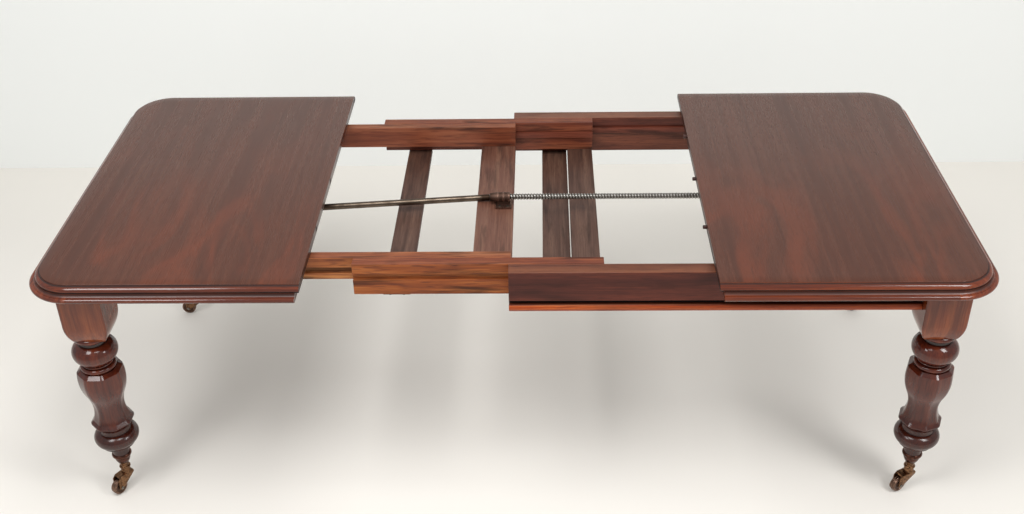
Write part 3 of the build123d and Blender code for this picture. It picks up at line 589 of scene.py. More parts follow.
@dataclass
class EndTop:
    """One end's board with its worked edge, and the moulded lining under it."""

    end: End
    board: Timber
    lining_long: Timber
    lining_end: Timber
    height: float = 735.0
    inner: float = 492.0
    length: float = 641.0
    half_width: float = 507.0
    corner: float = 90.0
    corner_steps: int = 25
    thickness: float = 18.0
    margin: float = 25.0
    quirk: float = 4.0
    ledge: float = 3.0
    thumb: float = 10.0
    neck: float = 11.5
    lining_out: float = 14.5
    fillet: float = 2.0
    cove: float = 1.3
    round_radius: float = 6.2
    round_out: float = 23.5
    edge: float = 37.0
    inset: float = 20.0
    setback: float = 10.0
    ease: float = 0.8
    joint: float = 0.2
    peg_drop: float = 9.0
    peg_rows: tuple[float, ...] = (-248.0, -2.0, 244.0)
    socket_radius: float = 5.05
    socket_depths: tuple[float, ...] = (13.0, 14.5, 16.0)
    socket_room: float = 8.0

    def outline(self) -> tuple[Array, Array]:
        """Gives the arris from the inner edge round the two corners and back, and its outward normals.

        Returns:
            Points and unit normals in the plane.
        """
        n, wide = self.corner_steps, self.half_width
        x, y = self.inner + self.length - self.corner, wide - self.corner
        front, back = arc((x, -y), self.corner, -90, 0, n), arc((x, y), self.corner, 0, 90, n)
        normals = [[[0.0, -1.0]], arc((0, 0), 1, -90, 0, n), arc((0, 0), 1, 0, 90, n), [[0.0, 1.0]]]
        points = [[[self.inner, -wide]], front, back, [[self.inner, wide]]]
        return np.concatenate(points), np.concatenate(normals)

    def board_profile(self) -> Array:
        """Gives the worked edge as rows of distance out from the arris, down from the face, and grime with
        painted shade.

        Returns:
            The profile from the face, over arris, quirk and thumb, to the underside.
        """
        e, deep = self.ease, self.thickness
        low = self.quirk + self.thumb
        thumb = arc((self.ledge, low), self.thumb, -90, -4, 17)
        lip = arc((self.ledge + self.thumb - e, low), e, 10, 90, 4)
        # The grime column paints shade: dark in the quirk, under the thumb and on the neck and underside
        rows = [
            [[-self.margin, 0.0, 0.0], [-e, 0.0, 0.0]],
            np.column_stack([arc((-e, e), e, -60, 0, 3), np.zeros(3)]),
            [[0.0, self.quirk - e, 0.6], [0.3 * e, self.quirk - 0.3 * e, 0.9], [e, self.quirk, 0.9]],
            np.column_stack([thumb, np.clip(np.linspace(0.8, -3.0, 17), 0, 1)]),
            np.column_stack([lip, np.linspace(0.0, 0.8, 4)]),
            [[self.neck, low + e, 1.0], [self.neck, deep, 1.0], [-self.margin, deep, 0.6]],
        ]
        return np.concatenate(rows)

    def swept(self, profile: Array, points: Array, normals: Array) -> Array:
        """Carries a profile along the arris: each point plus its normal times the distance out.

        Args:
            profile: Rows of distance out and down.
            points: The arris.
            normals: Its outward normals.

        Returns:
            A grid with one row for each point of the arris.
        """
        out = points[:, None] + normals[:, None] * profile[None, :, :1]
        down = np.broadcast_to(self.height - profile[None, :, 1:2], out.shape[:2] + (1,))
        return np.concatenate([out, down], axis=-1) * np.array([self.end.value, 1.0, 1.0])

    def make_board(self) -> Piece:
        """Makes the board: the swept edge, the two flats, and the inner edge with its peg sockets.

        Returns:
            The new object.
        """
        shell = Shell()
        profile = self.board_profile()
        surface = self.swept(profile, *self.outline())
        ring = shell.grid(surface, closed=False, caps=False, grime=profile[:, 2])
        x = self.inner * self.end.value
        rows = self.peg_rows if self.end is End.LEFT else ()
        across = np.array([[y - self.socket_room, y + self.socket_room] for y in rows]).reshape(-1)
        top, low = (
            shell.add(np.stack([np.full_like(across, x), across, np.full_like(across, z)], -1))
            for z in (self.height, self.height - self.thickness)
        )
        shell.faces += [[*ring[:, k].tolist(), *row[::-1].tolist()] for k, row in ((0, top), (-1, low))]
        # The inner edge is a row of faces between the sockets' squares
        upper = [ring[0, 0], *top, ring[-1, 0]]
        lower = [ring[0, -1], *low, ring[-1, -1]]
        first, last = ring[0, 1:-1].tolist(), ring[-1, 1:-1].tolist()
        for k in range(0, len(upper), 2):
            face = [upper[k], upper[k + 1]]
            face += last if k + 2 == len(upper) else []
            face += [lower[k + 1], lower[k]]
            face += first[::-1] if k == 0 else []
            shell.faces.append([int(n) for n in face])
        for k, y in enumerate(rows):
            rim = arc((y, self.height - self.peg_drop), self.socket_radius, 225, 585, 25)[:-1]
            wall = carried([x, x + self.end.value * self.socket_depths[k]], rim)
            # The sockets' walls are painted dark as shade inside the holes
            mouth = shell.grid(wall, caps=False, grime=0.8)
            shell.faces.append(mouth[1].tolist())
            corners = [low[2 * k], low[2 * k + 1], top[2 * k + 1], top[2 * k]]
            for q in range(4):
                part = np.roll(mouth[0], -6 * q)[:7].tolist()
                shell.faces.append([int(corners[q]), int(corners[(q + 1) % 4])] + part[::-1])
        piece = shell.build(f"{self.end.word}_top_polished_board", sharp=40.0)
        sides = np.array([polygon.normal.x * self.end.value for polygon in piece.data.polygons])
        mark_faces(piece, "bare", (sides < -NEARLY).astype(float))
        return piece

    def lining_profile(self) -> Array:
        """Gives the lining's section: a flat strip whose outer edge is a fillet, a cove and a round.

        Returns:
            A closed loop of distance out, down, and grime with painted shade.
        """
        start = np.array([self.lining_out, self.thickness + self.fillet])
        nose = arc((self.round_out, self.edge - self.round_radius), self.round_radius, -120, 90, 25)
        chord = nose[0] - start
        sag = (start + nose[0]) / 2 + self.cove * np.array([-chord[1], chord[0]]) / np.linalg.norm(chord)
        # Painted shade: dark where the lining meets the board, in the cove's top, under the round and behind
        rows = [
            [[self.lining_out, self.thickness, 0.6]],
            np.column_stack([bow(start, sag, nose[0], 9)[:-1], np.linspace(0.8, 0.1, 8)]),
            np.column_stack([nose, np.clip(np.linspace(-3.0, 0.8, 25), 0, 0.8)]),
            [[-self.inset, self.edge, 0.6], [-self.inset, self.thickness, 0.6]],
        ]
        return np.concatenate(rows)

    def make_linings(self) -> list[Piece]:
        """Makes the lining: strips along the sides, corner pieces and the strip across the end.

        Returns:
            The side strips as one object, and the corners and end strip as another.
        """
        points, normals = self.outline()
        profile = self.lining_profile()
        n = self.corner_steps
        sides, across = Shell(), Shell()
        runs = []
        for row in (slice(0, 2), slice(-2, None)):
            run = points[row].copy()
            run[:, 0] = np.clip(run[:, 0], self.inner + self.setback, points[1, 0] - self.joint)
            runs.append((sides, run, normals[row]))
        for row in (slice(1, n + 1), slice(n + 1, 2 * n + 1)):
            runs.append((across, points[row], normals[row]))
        run = points[n : n + 2].copy()
        run[:, 1] -= np.sign(run[:, 1]) * self.joint
        runs.append((across, run, normals[n : n + 2]))
        for shell, path, out in runs:
            shell.grid(self.swept(profile, path, out), grime=profile[:, 2])
        word = self.end.word
        return [sides.build(f"{word}_side_lining"), across.build(f"{word}_end_lining")]

    def dress_edge(self, piece: Piece, *finishes: Material) -> None:
        """Gives the board's worked edge the mouldings' finish.

        Args:
            piece: The board, already dressed for its face.
            finishes: The finishes for its sides and for its end.
        """
        faces = piece.data.polygons
        centre, normal = np.zeros(3 * len(faces)), np.zeros(3 * len(faces))
        faces.foreach_get("center", centre)
        faces.foreach_get("normal", normal)
        x, y, z = normal.reshape(-1, 3).T
        edge = (centre[2::3] < (self.height - 1) * MM) & (z > -NEARLY) & (x * self.end.value > -NEARLY)
        for finish in finishes:
            piece.data.materials.append(finish)
        faces.foreach_set("material_index", edge * np.where(np.abs(y) > np.abs(x), 1, 2))

    def make(self) -> None:
        """Makes the top's pieces and sets them on their end."""
        word = self.end.word
        body = f"{word}_end"
        long, end = self.lining_long.build(), self.lining_end.build()
        board = place(self.make_board(), body, self.board.build(), f"{word}_top_board")
        self.dress_edge(board, long, end)
        for lining, finish in zip(self.make_linings(), (long, end)):
            place(lining, body, finish, f"{word}_edge_lining")


@dataclass
class Corner:
    """What stands at one corner of the table."""

    end: End
    side: Side
    centre: Pair = field(default=(1060.0, 409.0), kw_only=True)
    cup_top: float = field(default=124.3, kw_only=True)

    @property
    def name(self) -> str:
        """The corner's name as it stands in node names."""
        return f"{self.end.word}_{self.side.word}"

    @property
    def foot(self) -> Array:
        """The foot of the leg's axis on the floor."""
        return np.array([self.centre[0] * self.end.value, self.centre[1] * self.side.value, 0.0])


@dataclass
class TurnedLeg(Corner):
    """A leg: ankle, torus, octagonal vase, bun and square head, stacked up from the castor cup.

    Most parts are given by a half-width and a height, those of the vase above the collar's foot. The
    ankle has the half-widths of both ends first, the torus its widest and its top's. The collar ends
    in its bevel. The quirk is the neck's half-width, the slits beside the small ring and the gap over
    the bun. The head is its width, its foot's and the rise between. A bend is how far in and up from
    its foot a curve passes. The low darkening is rows of heights and of how much darker the leg is
    painted there, darker towards the bottom.
    """

    turn: float
    shift: float
    ankle: Triple = (22.0, 24.0, 35.0)
    ankle_bend: Pair = (0.6, 12.0)
    toe: Pair = (44.0, 7.0)
    toe_ease: float = 1.0
    torus: Triple = (58.0, 40.0, 42.0)
    cove: Pair = (43.0, 23.0)
    cove_bend: Pair = (2.0, 9.0)
    collar: Triple = (52.0, 18.0, 7.5)
    vase_neck: float = 45.0
    waist: Pair = (37.5, 52.0)
    swell: Pair = (46.0, 98.0)
    shoulder: Pair = (54.5, 178.0)
    vase_height: float = 168.0
    ring: Pair = (46.0, 14.0)
    small_ring: Pair = (40.0, 5.0)
    quirk: Triple = (36.0, 2.0, 11.0)
    bun: Pair = (57.5, 59.0)
    cap: Pair = (45.0, 15.0)
    head: Triple = (108.0, 84.0, 50.0)
    head_top: float = 698.0
    arris: float = 0.972
    low_darkening: tuple[tuple[float, ...], ...] = ((124.0, 228.0, 232.0, 340.0), (0.55, 0.5, 0.4, 0.0))
    hollow: float = 3.5
    around: int = 144

    def levels(self) -> list[tuple[Section, Array]]:
        """Gives the leg's lengths from the foot upwards.

        Returns:
            Each length's cross-section and its rows of half-width and height.
        """
        neck, slit, gap = self.quirk
        thin, thick, rise = self.ankle
        toe, (wide, top_wide, torus_rise), bevel = self.toe[0], self.torus, self.collar[2]
        rises = [self.cup_top, rise, self.toe[1], torus_rise, self.cove[1], self.collar[1], self.vase_height]
        rises += [self.ring[1], slit, self.small_ring[1], slit, self.bun[1], gap, self.cap[1]]
        base, toe_low, torus_low, torus_top, collar_low, vase_low, vase_top, *upper = np.cumsum(rises)
        ring_top, small_low, small_top, bun_low, bun_top, cap_low, head_low = upper
        ankle_bend = (thin - self.ankle_bend[0], base + self.ankle_bend[1])
        cove_bend = (top_wide - self.cove_bend[0], torus_top + self.cove_bend[1])
        foot = [
            bow((thin, base), ankle_bend, (thick, toe_low), 7),
            [[toe - self.toe_ease, toe_low], [toe, toe_low + self.toe_ease], [toe, torus_low]],
            bow((toe, torus_low), (wide, (torus_low + torus_top) / 2), (top_wide, torus_top), 25),
            bow((top_wide, torus_top), cove_bend, (self.cove[0], collar_low), 9),
        ]
        narrow, full, high = ((p[0], collar_low + p[1]) for p in (self.waist, self.swell, self.shoulder))
        waist = bow((self.vase_neck, vase_low), narrow, full, 25)
        heading = (waist[-1] - waist[-2]) / np.linalg.norm(waist[-1] - waist[-2])
        flat = [[self.collar[0], collar_low + bevel], [self.collar[0], vase_low - bevel]]
        collar = [[self.cove[0], collar_low], *flat]
        belly = tangent_bow(waist[-1], heading, high, 25)[1:]
        vase = [collar, waist, belly, [[self.vase_neck, vase_top]]]
        rings = [
            [[neck, vase_top]],
            bulge(neck, vase_top, self.ring[0], ring_top),
            bulge(neck, small_low, self.small_ring[0], small_top),
            bulge(neck, bun_low, self.bun[0], bun_top, 33),
            bulge(neck, cap_low, self.cap[0], head_low),
        ]
        half, foot_half, rise = self.head[0] / 2, self.head[1] / 2, self.head[2]
        curve = tangent_bow(np.array([half, head_low + rise]), -UP[1:], (foot_half, head_low), 17)
        head = [[[foot_half - 2, head_low]], curve[::-1], [[half, self.head_top]]]
        kinds = (Section.ROUND, Section.OCTAGON, Section.ROUND, Section.SQUARE)
        return [(kind, np.concatenate(rows)) for kind, rows in zip(kinds, (foot, vase, rings, head))]

    def make(self, finish: Material) -> None:
        """Makes the leg: at each height the half-width over the cosine of the angle to the nearest flat.

        Args:
            finish: The legs' material.
        """
        angle = np.linspace(0, 2 * math.pi, self.around, endpoint=False)
        levels = self.levels()
        stack = np.concatenate([profile for _, profile in levels])
        # Painted dark in the hollows, for dirt and shade, and darker towards the bottom
        dirt = np.maximum(hollows(stack, depth=self.hollow), np.interp(stack[:, 1], *self.low_darkening))
        rows, bare = [], []
        for section, profile in levels:
            x, y, _ = self.foot
            reach = np.ones_like(angle)
            if section is not Section.ROUND:
                step = 2 * math.pi / section.value
                turn = math.radians(self.turn) if section is Section.OCTAGON else 0.0
                off = (angle - turn + step / 2) % step - step / 2
                reach = np.minimum(1 / np.cos(off), self.arris / math.cos(step / 2))
            if section is Section.SQUARE:
                x -= self.shift * self.end.value
            radius = profile[:, :1] * reach
            height = np.broadcast_to(profile[:, 1:], radius.shape)
            rows.append(np.stack([x + radius * np.cos(angle), y + radius * np.sin(angle), height], axis=-1))
            bare.append(np.full(len(profile), float(section is Section.SQUARE)))
        shell = Shell()
        shell.grid(np.concatenate(rows), grime=dirt[:, None], bare=np.concatenate(bare)[:, None])
        piece = shell.build(f"{self.name}_leg_turned", sharp=20.0)
        place(piece, f"{self.end.word}_end", finish, f"{self.name}_leg")


@dataclass
class Castor(Corner):
    """A brass castor: cup under the leg, horn with neck, crown and arms, and a turned wheel.

    The bowl and the lip are radii from their foot up. The slit between them is its radius and how far
    under the rim it starts and is deepest. A groove is its place across the tread, its spread and its
    depth. The dish is rows of radius, distance in from the wheel's face, and grime.
    """

    heading: float
    wheel_radius: float = 22.0
    wheel_width: float = 18.0
    trail: float = 32.0
    arm_inner: float = 9.5
    arm: float = 4.0
    eye: float = 7.0
    crown_low: float = 48.0
    crown: float = 8.0
    crown_back: float = 15.0
    horn_top: float = 90.0
    neck: float = 13.0
    neck_bore: float = 5.1
    bead: Pair = (15.0, 6.0)
    cup_low: float = 90.3
    rim: float = 12.0
    cup_bores: Pair = (6.0, 16.5)
    bowl: Triple = (14.0, 19.5, 21.5)
    slit: Triple = (20.8, 1.5, 0.4)
    lip: Triple = (21.5, 26.0, 23.0)
    tread_inset: float = 1.6
    tread_fall: float = 1.6
    groove: Triple = (3.2, 0.7, 0.8)
    dish: tuple[Triple, ...] = (
        (3.1, 0.0, 0.6), (8.0, 0.0, 0.1), (8.6, 1.8, 0.9),
        (15.0, 1.8, 0.7), (16.0, 0.2, 0.1), (18.4, 0.0, 0.0),
    )

    @property
    def forward(self) -> Array:
        """The direction from the swivel axis to the wheel."""
        turn = math.radians(self.heading)
        return np.array([math.cos(turn), math.sin(turn), 0.0])

    @property
    def sideways(self) -> Array:
        """The direction of the wheel's axle."""
        return np.cross(self.forward, UP)

    def make_cup(self) -> Piece:
        """Makes the cup, a turned bowl with a rounded rim.

        Returns:
            The new object.
        """
        low, high = self.cup_low, self.cup_top
        rim_low = high - self.rim
        (foot, belly, brim), (under, widest, over) = self.bowl, self.lip
        slit, start, deepest = self.slit
        rows = [
            [[self.cup_bores[0], low]],
            bow((foot, low), (belly, (low + rim_low) / 2), (brim, rim_low - start)),
            [[slit, rim_low - deepest]],
            bow((under, rim_low), (widest, rim_low + self.rim / 2), (over, high)),
            [[self.cup_bores[1], high]],
        ]
        profile = np.concatenate(rows)
        shell = Shell()
        shell.grid(turned(profile, self.foot, UP), grime=np.clip(hollows(profile, 5, 4.0), 0, 0.8)[:, None])
        return shell.build(f"{self.name}_castor_socket")

    def flat(self, outline: Array, inset: Array, shell: Shell) -> None:
        """Carries a flat outline across its thickness, drawn in towards its middle at each station.

        Args:
            outline: A closed loop of distance forward and height.
            inset: Rows of distance sideways and the share of the outline's size there.
            shell: The piece that takes the surface.
        """
        core = outline.mean(axis=0)
        loops = core + (outline - core)[None] * inset[:, None, 1:]
        sideways = inset[:, None, :1] * self.sideways
        shell.grid(self.foot + loops[..., :1] * self.forward + loops[..., 1:] * UP + sideways)

    def make_horn(self) -> Piece:
        """Makes the horn: a turned neck, and arms and crown that are flat outlines carried sideways.

        An arm's outline is the crown's rounded rectangle joined to the eye's circle.

        Returns:
            The new object.
        """
        shell = Shell()
        low, high, top = self.crown_low, self.crown_low + self.crown, self.horn_top
        neck, bore = self.neck, self.neck_bore
        middle, half = (high + top) / 2, self.bead[1] / 2
        rows = [
            [[bore, low + 2.0]],
            bow((neck + 1.5, low + 2.0), (neck + 0.4, high + 3.0), (neck - 1.5, middle - 7.0), 9),
            [[neck - 1.5, middle - half]],
            bulge(neck - 1.0, middle - half, self.bead[0], middle + half, 9),
            bow((neck - 1.5, middle + half), (neck - 1.8, middle + 8.0), (neck, top - 3.0), 7),
            [[neck, top], [bore, top], [bore, low + 2.0]],
        ]
        shell.grid(turned(np.concatenate(rows), self.foot, UP, 48), caps=False)
        back, front = -self.crown_back, self.trail
        rounds = [
            ((front, self.wheel_radius), self.eye, -150, 0, 17),
            ((front + 1.5, high - 11.0), 5.0, 0, 40, 5),
            ((front - 6.0, high - 6.0), 6.0, 50, 90, 5),
            ((back + 4.0, high - 4.0), 4.0, 90, 180, 6),
            ((back + 3.0, low + 2.0), 3.0, 180, 250, 5),
        ]
        arm = np.concatenate([arc(*part) for part in rounds])
        thick = self.arm
        rounded = np.array([[0.0, 0.9], [0.6, 1.0], [thick - 1.2, 1.0], [thick - 0.4, 0.955], [thick, 0.88]])
        for sign in (-1, 1):
            self.flat(arm, np.column_stack([sign * (self.arm_inner + rounded[:, 0]), rounded[:, 1]]), shell)
        shoulders = (((front - 4.0, high - 3.0), 3.0, 0, 90, 4), ((back + 3.0, high - 3.0), 3.0, 90, 180, 4))
        crown = np.concatenate([*(arc(*part) for part in shoulders), [[back, low], [front - 1.0, low]]])
        self.flat(crown, np.array([[-self.arm_inner, 1.0], [self.arm_inner, 1.0]]), shell)
        return shell.build(f"{self.name}_castor_fork")

    def make_wheel(self) -> Piece:
        """Makes the wheel: a crowned tread with two turned grooves, hollowed sides and a hub.

        The tread's radius falls with the square of the place across it, less a bell curve at each groove.

        Returns:
            The new object.
        """
        half, rim = self.wheel_width / 2, self.wheel_radius
        edge = half - self.tread_inset
        across = np.linspace(-edge, edge, 33)
        spot, spread, depth = self.groove
        groove = np.exp(-(((np.abs(across) - spot) / spread) ** 2))
        radius = rim - self.tread_fall * (across / half) ** 2 - depth * groove
        tread = np.stack([radius, across, groove], axis=-1)
        side = np.array(self.dish) * [1.0, -1.0, 1.0] + [0.0, half, 0.0]
        other = side * [1.0, -1.0, 1.0]
        profile = np.concatenate([other, tread, side[::-1], other[:1]])
        hub = self.foot + self.trail * self.forward + rim * UP
        shell = Shell()
        shell.grid(turned(profile, hub, self.sideways, 56), caps=False, grime=profile[:, 2:])
        return shell.build(f"{self.name}_castor_roller")

    def make(self, finishes: dict[str, Material]) -> None:
        """Makes the castor's pieces and sets each on its body.

        Args:
            finishes: Materials by name.
        """
        name, brass = self.name, "castor_brass"
        place(self.make_cup(), f"{self.end.word}_end", finishes["castor_cup"], f"{name}_castor_cup")
        place(self.make_horn(), f"{name}_castor", finishes[brass], f"{name}_castor_horn")
        wheel = "castor_wheel"
        place(self.make_wheel(), f"{name}_wheel", finishes[wheel], f"{name}_{wheel}")


@dataclass
class SlideFrame:
    """The three nested pairs of slides with their crossbars and the bead under the outer pair.

    A slide is given by its inner face, outer face and underside. A section is rows of distance
    across, height, and how bare and how dark with grime and painted shade the face is that starts there.
    """

    top: float = 713.0
    groove: Triple = (684.0, 667.0, 8.2)
    seat: Triple = (683.7, 667.3, 6.0)
    left: Triple = (335.0, 362.0, 650.0)
    left_span: Pair = (-996.0, 2.0)
    middle: Triple = (362.4, 392.4, 625.0)
    middle_span: Pair = (-386.0, 229.0)
    right: Triple = (392.8, 432.8, 604.0)
    right_span: Pair = (-3.0, 998.0)
    rebate: Pair = (12.0, 27.0)
    bead: Triple = (3.0, 600.0, 619.0)
    bar_thickness: float = 14.0
    bar_lap: float = 12.0
    ease: float = 1.2
    end_marks: Pair = (0.3, 0.15)

    def make_length(self, span: Pair, section: Array, name: str) -> Piece:
        """Carries a section along the table between two places and marks its faces.

        Args:
            span: The places of its two ends.
            section: A closed loop of distance across, height, bareness, and grime with painted shade.
            name: The piece's name.

        Returns:
            The new object.
        """
        shell = Shell()
        shell.grid(carried(span, section[:, :2]))
        piece = shell.build(name, 40.0, self.ease)
        marks = np.concatenate([section[:, 2:], [self.end_marks] * 2])
        mark_faces(piece, "bare", marks[:, 0])
        mark_faces(piece, "grime", marks[:, 1])
        return piece

    def grooved(self, slide: Triple, seated: bool, grime: float) -> Array:
        """Gives the section of a slide with a groove in its outer face.

        Args:
            slide: Inner face, outer face and underside.
            seated: Whether a tongue is let into the inner face.
            grime: How dark the groove is painted, as shade.

        Returns:
            The section.
        """
        inner, outer, low = slide
        high, foot, depth = self.groove
        # The groove's walls are painted dark as shade, the underside a little
        rows = [
            [inner, self.top, 0.25, 0.05],
            [outer, self.top, 0.9, 0.0],
            [outer, high, 0.8, 0.6],
            [outer - depth, high, 1.0, grime],
            [outer - depth, foot, 1.0, grime / 3],
            [outer, foot, 1.0, 0.0],
            [outer, low, 0.4, 0.2],
            [inner, low, 0.1, 0.0],
        ]
        return np.array(rows + self.seat_rows(inner) if seated else rows)

    def seat_rows(self, inner: float) -> list[list[float]]:
        """Gives the corners of the seat in a slide's inner face, from its lower edge up.

        Args:
            inner: The place of the inner face.

        Returns:
            Rows of a section.
        """
        high, foot, depth = self.seat
        deep = inner + depth
        # The seat's faces are painted black as shade
        dark = [[x, z, 0.0, 1.0] for x, z in ((inner, foot), (deep, foot), (deep, high))]
        return [*dark, [inner, high, 0.1, 0.0]]

    def rebated(self) -> Array:
        """Gives the section of an outer slide, its face cut back for the bead.

        Returns:
            The section.
        """
        inner, outer, low = self.right
        depth, height = self.rebate
        # The rebate's upper faces are painted black as shade under the overhang
        rows = [
            [inner, self.top, 0.8, 0.0],
            [outer, self.top, 0.0, 0.0],
            [outer, low + height, 0.0, 0.9],
            [outer - depth, low + height, 0.0, 1.0],
            [outer - depth, low, 0.2, 0.2],
            [inner, low, 0.35, 0.0],
        ]
        return np.array(rows + self.seat_rows(inner))

    def bead_section(self) -> Array:
        """Gives the bead's section: square behind, with a flattened half-round in front.

        Returns:
            The section.
        """
        proud, low, high = self.bead
        face, back = self.right[1], self.right[1] - self.rebate[0]
        nose = bulge(face - 1.5, low, face + proud, high, 15)
        # The bead's upper part is painted darker as shade under the rebate
        rows = np.column_stack([nose, np.zeros(15), np.clip(np.linspace(-2.6, 0.8, 15), 0, 1)])
        return np.concatenate([rows, [[back, high, 0.0, 0.0], [back, low, 0.0, 0.0]]])

    def make(self, finishes: dict[str, Material]) -> None:
        """Makes the slides, beads and crossbars.

        Args:
            finishes: Materials by name.
        """
        # The left slide's groove is painted darker as shade than the middle's
        left, middle = self.grooved(self.left, False, 0.6), self.grooved(self.middle, True, 0.1)
        plans = [
            ("left", "runner", "left_end", "oiled_slide", self.left_span, left),
            ("middle", "runner", "middle_frame", "mahogany_slide", self.middle_span, middle),
            ("right", "runner", "right_end", "mahogany_rail", self.right_span, self.rebated()),
            ("right", "beading", "right_end", "mahogany_bead", self.right_span, self.bead_section()),
        ]
        for side in Side:
            flip = np.array([side.value, 1.0, 1.0, 1.0])
            for word, kind, body, slot, span, section in plans:
                piece = self.make_length(span, section * flip, f"{word}_{side.word}_{kind}")
                node = f"{word}_{side.word}_slide" if kind == "runner" else "right_slide_beads"
                place(piece, body, finishes[slot], node)
        bar = "rubbed_crossbar"
        bars = [
            ("left_crossbar", "left_end", (-98.0, 2.0), self.left, "wide_crossbar"),
            ("middle_left_crossbar", "middle_frame", (-317.0, -249.0), self.middle, bar),
            ("middle_right_crossbar", "middle_frame", (155.0, 228.0), self.middle, bar),
            ("right_crossbar", "right_end", (80.0, 153.0), self.right, bar),
        ]
        for node, body, span, slide, finish in bars:
            reach, high = slide[0] + self.bar_lap, slide[2]
            low = high - self.bar_thickness
            loop = [[-reach, low, 0, 0], [reach, low, 0, 0], [reach, high, 0, 0], [-reach, high, 0, 0]]
            piece = self.make_length(span, np.array(loop, float), f"{node}_planed")
            place(piece, body, finishes[finish], node)


@dataclass
class WindingGear:
    """The winding screw, the nut casting that it runs through, and the stay rod.

    The ridges are their radius, how far the outer two are inside the boss's ends, and their spread. The
    rod's band is shares of its length, and its grime is given from foot to head.
    """

    height: float = 673.0
    start: float = -63.0
    pitch: float = 8.0
    turns: int = 138
    root: float = 6.5
    crest: float = 8.3
    steepness: float = 2.0
    per_turn: int = 14
    around: int = 22
    journal: float = 7.0
    journal_end: float = 1101.2
    crank: Pair = (10.0, 18.0)
    cone: Pair = (-62.0, 9.6)
    boss: Triple = (-43.0, -8.0, 12.2)
    ridges: Triple = (14.0, 2.5, 2.6)
    bore: float = 8.7
    plate: tuple[Triple, Triple] = ((-47.0, -28.0, 650.0), (-4.0, 42.0, 655.0))
    web: float = 9.0
    rod_foot: Triple = (-1060.0, -40.0, 632.5)
    rod_head: Triple = (-64.0, 19.0, 660.4)
    rod_radius: float = 8.5
    rod_tenon: float = 6.0
    rod_band: tuple[float, ...] = (0.525, 0.535, 0.575, 0.585)
    rod_grime: tuple[float, ...] = (0.5, 0.5, 0.1, 0.6, 0.6, 0.1, 0.1, 0.9, 0.9, 0.9)
    lug: Pair = (9.4, 38.0)

    def make_screw(self) -> Piece:
        """Makes the screw: the radius swings from root to crest with the angle less the turn at each place.

        Returns:
            The new object, with oil and dirt marked down in its thread.
        """
        shell = Shell()
        along = np.linspace(0, self.turns, self.turns * self.per_turn + 1)
        angle = np.linspace(0, 2 * math.pi, self.around, endpoint=False)
        phase = np.cos(angle[None] - 2 * math.pi * along[:, None])
        rise = (1 + np.tanh(self.steepness * phase) / math.tanh(self.steepness)) / 2
        radius = self.root + (self.crest - self.root) * rise
        x = np.broadcast_to(self.start + self.pitch * along[:, None], radius.shape)
        surface = np.stack([x, radius * np.cos(angle), self.height + radius * np.sin(angle)], axis=-1)
        shell.grid(surface, grime=1 - rise)
        end = self.start + self.pitch * self.turns
        tail = np.array([[self.journal, end - 1.0], [self.journal, self.journal_end]])
        shell.grid(turned(tail, self.height * UP, ALONG, 32))
        half, length = self.crank[0] / 2, self.crank[1]
        steps = np.array([[0.0, 1.0], [length - 1.5, 1.0], [length, 0.75]])
        corners = half * np.array([[-1, -1], [1, -1], [1, 1], [-1, 1]]) * steps[:, None, 1:]
        shell.grid(carried(self.journal_end + steps[:, 0], corners) + self.height * UP)
        return shell.build("winding_screw_thread", 50.0)

    def make_nut(self) -> Piece:
        """Makes the nut casting: a turned boss with a cone and three ridges, its web, plate and rod lug.

        The boss's radius is its plain radius plus a bell curve at each ridge.

        Returns:
            The new object.
        """
        shell = Shell()
        first, last, plain = self.boss
        along = np.linspace(first, last, 57)
        peak, inset, spread = self.ridges
        middles = np.linspace(first + inset, last - inset, 3)
        bells = np.exp(-(((along[:, None] - middles) / spread) ** 2)).sum(axis=1)
        barrel = np.column_stack([plain + (peak - plain) * bells, along, 0.75 - 0.75 * bells])
        mouths = [[self.bore, self.cone[0], 0.9], [self.cone[1], self.cone[0], 0.9]]
        profile = np.concatenate([mouths, barrel, [[self.bore, last, 1.0], mouths[0]]])
        surface = turned(profile, self.height * UP, ALONG, 40)
        shell.grid(surface, caps=False, grime=np.clip(profile[:, 2:], 0, 1))
        low, high = self.plate
        shell.block(low, high)
        # The web under the boss is painted dark as shade
        shell.block((first, -self.web, low[2]), (last, self.web, self.height - self.bore - 1.0), grime=0.8)
        head = np.array(self.rod_head)
        radius, length = self.lug
        tenon = self.rod_tenon
        ferrule = np.array([[tenon, 0.0], [radius, 0.6], [radius, length - 1.0], [tenon, length]])
        shell.grid(turned(ferrule, head, head - np.array(self.rod_foot), 32), grime=0.9)
        return shell.build("nut_casting_fettled", 40.0)

    def make_rod(self) -> Piece:
        """Makes the stay rod: a plain round bar, dark near its foot, in a band and at its head.

        Returns:
            The new object.
        """
        foot, head = np.array(self.rod_foot), np.array(self.rod_head)
        length = float(np.linalg.norm(head - foot))
        band = [share * length for share in self.rod_band]
        places = [0, 1, *band, length - 30, length - 20, length - 1, length]
        radius = np.full(len(places), self.rod_radius)
        radius[[0, -1]] -= 1
        profile = np.column_stack([radius, places, self.rod_grime])
        shell = Shell()
        shell.grid(turned(profile, foot, head - foot, 32), grime=profile[:, 2:])
        return shell.build("stay_rod_drawn")

    def make(self, finishes: dict[str, Material]) -> None:
        """Makes the gear's pieces.

        Args:
            finishes: Materials by name.
        """
        place(self.make_screw(), "lead_screw", finishes["oiled_steel"], "lead_screw")
        place(self.make_nut(), "left_end", finishes["cast_iron"], "nut_casting")
        place(self.make_rod(), "left_end", finishes["rod_iron"], "stay_rod")


# Stage


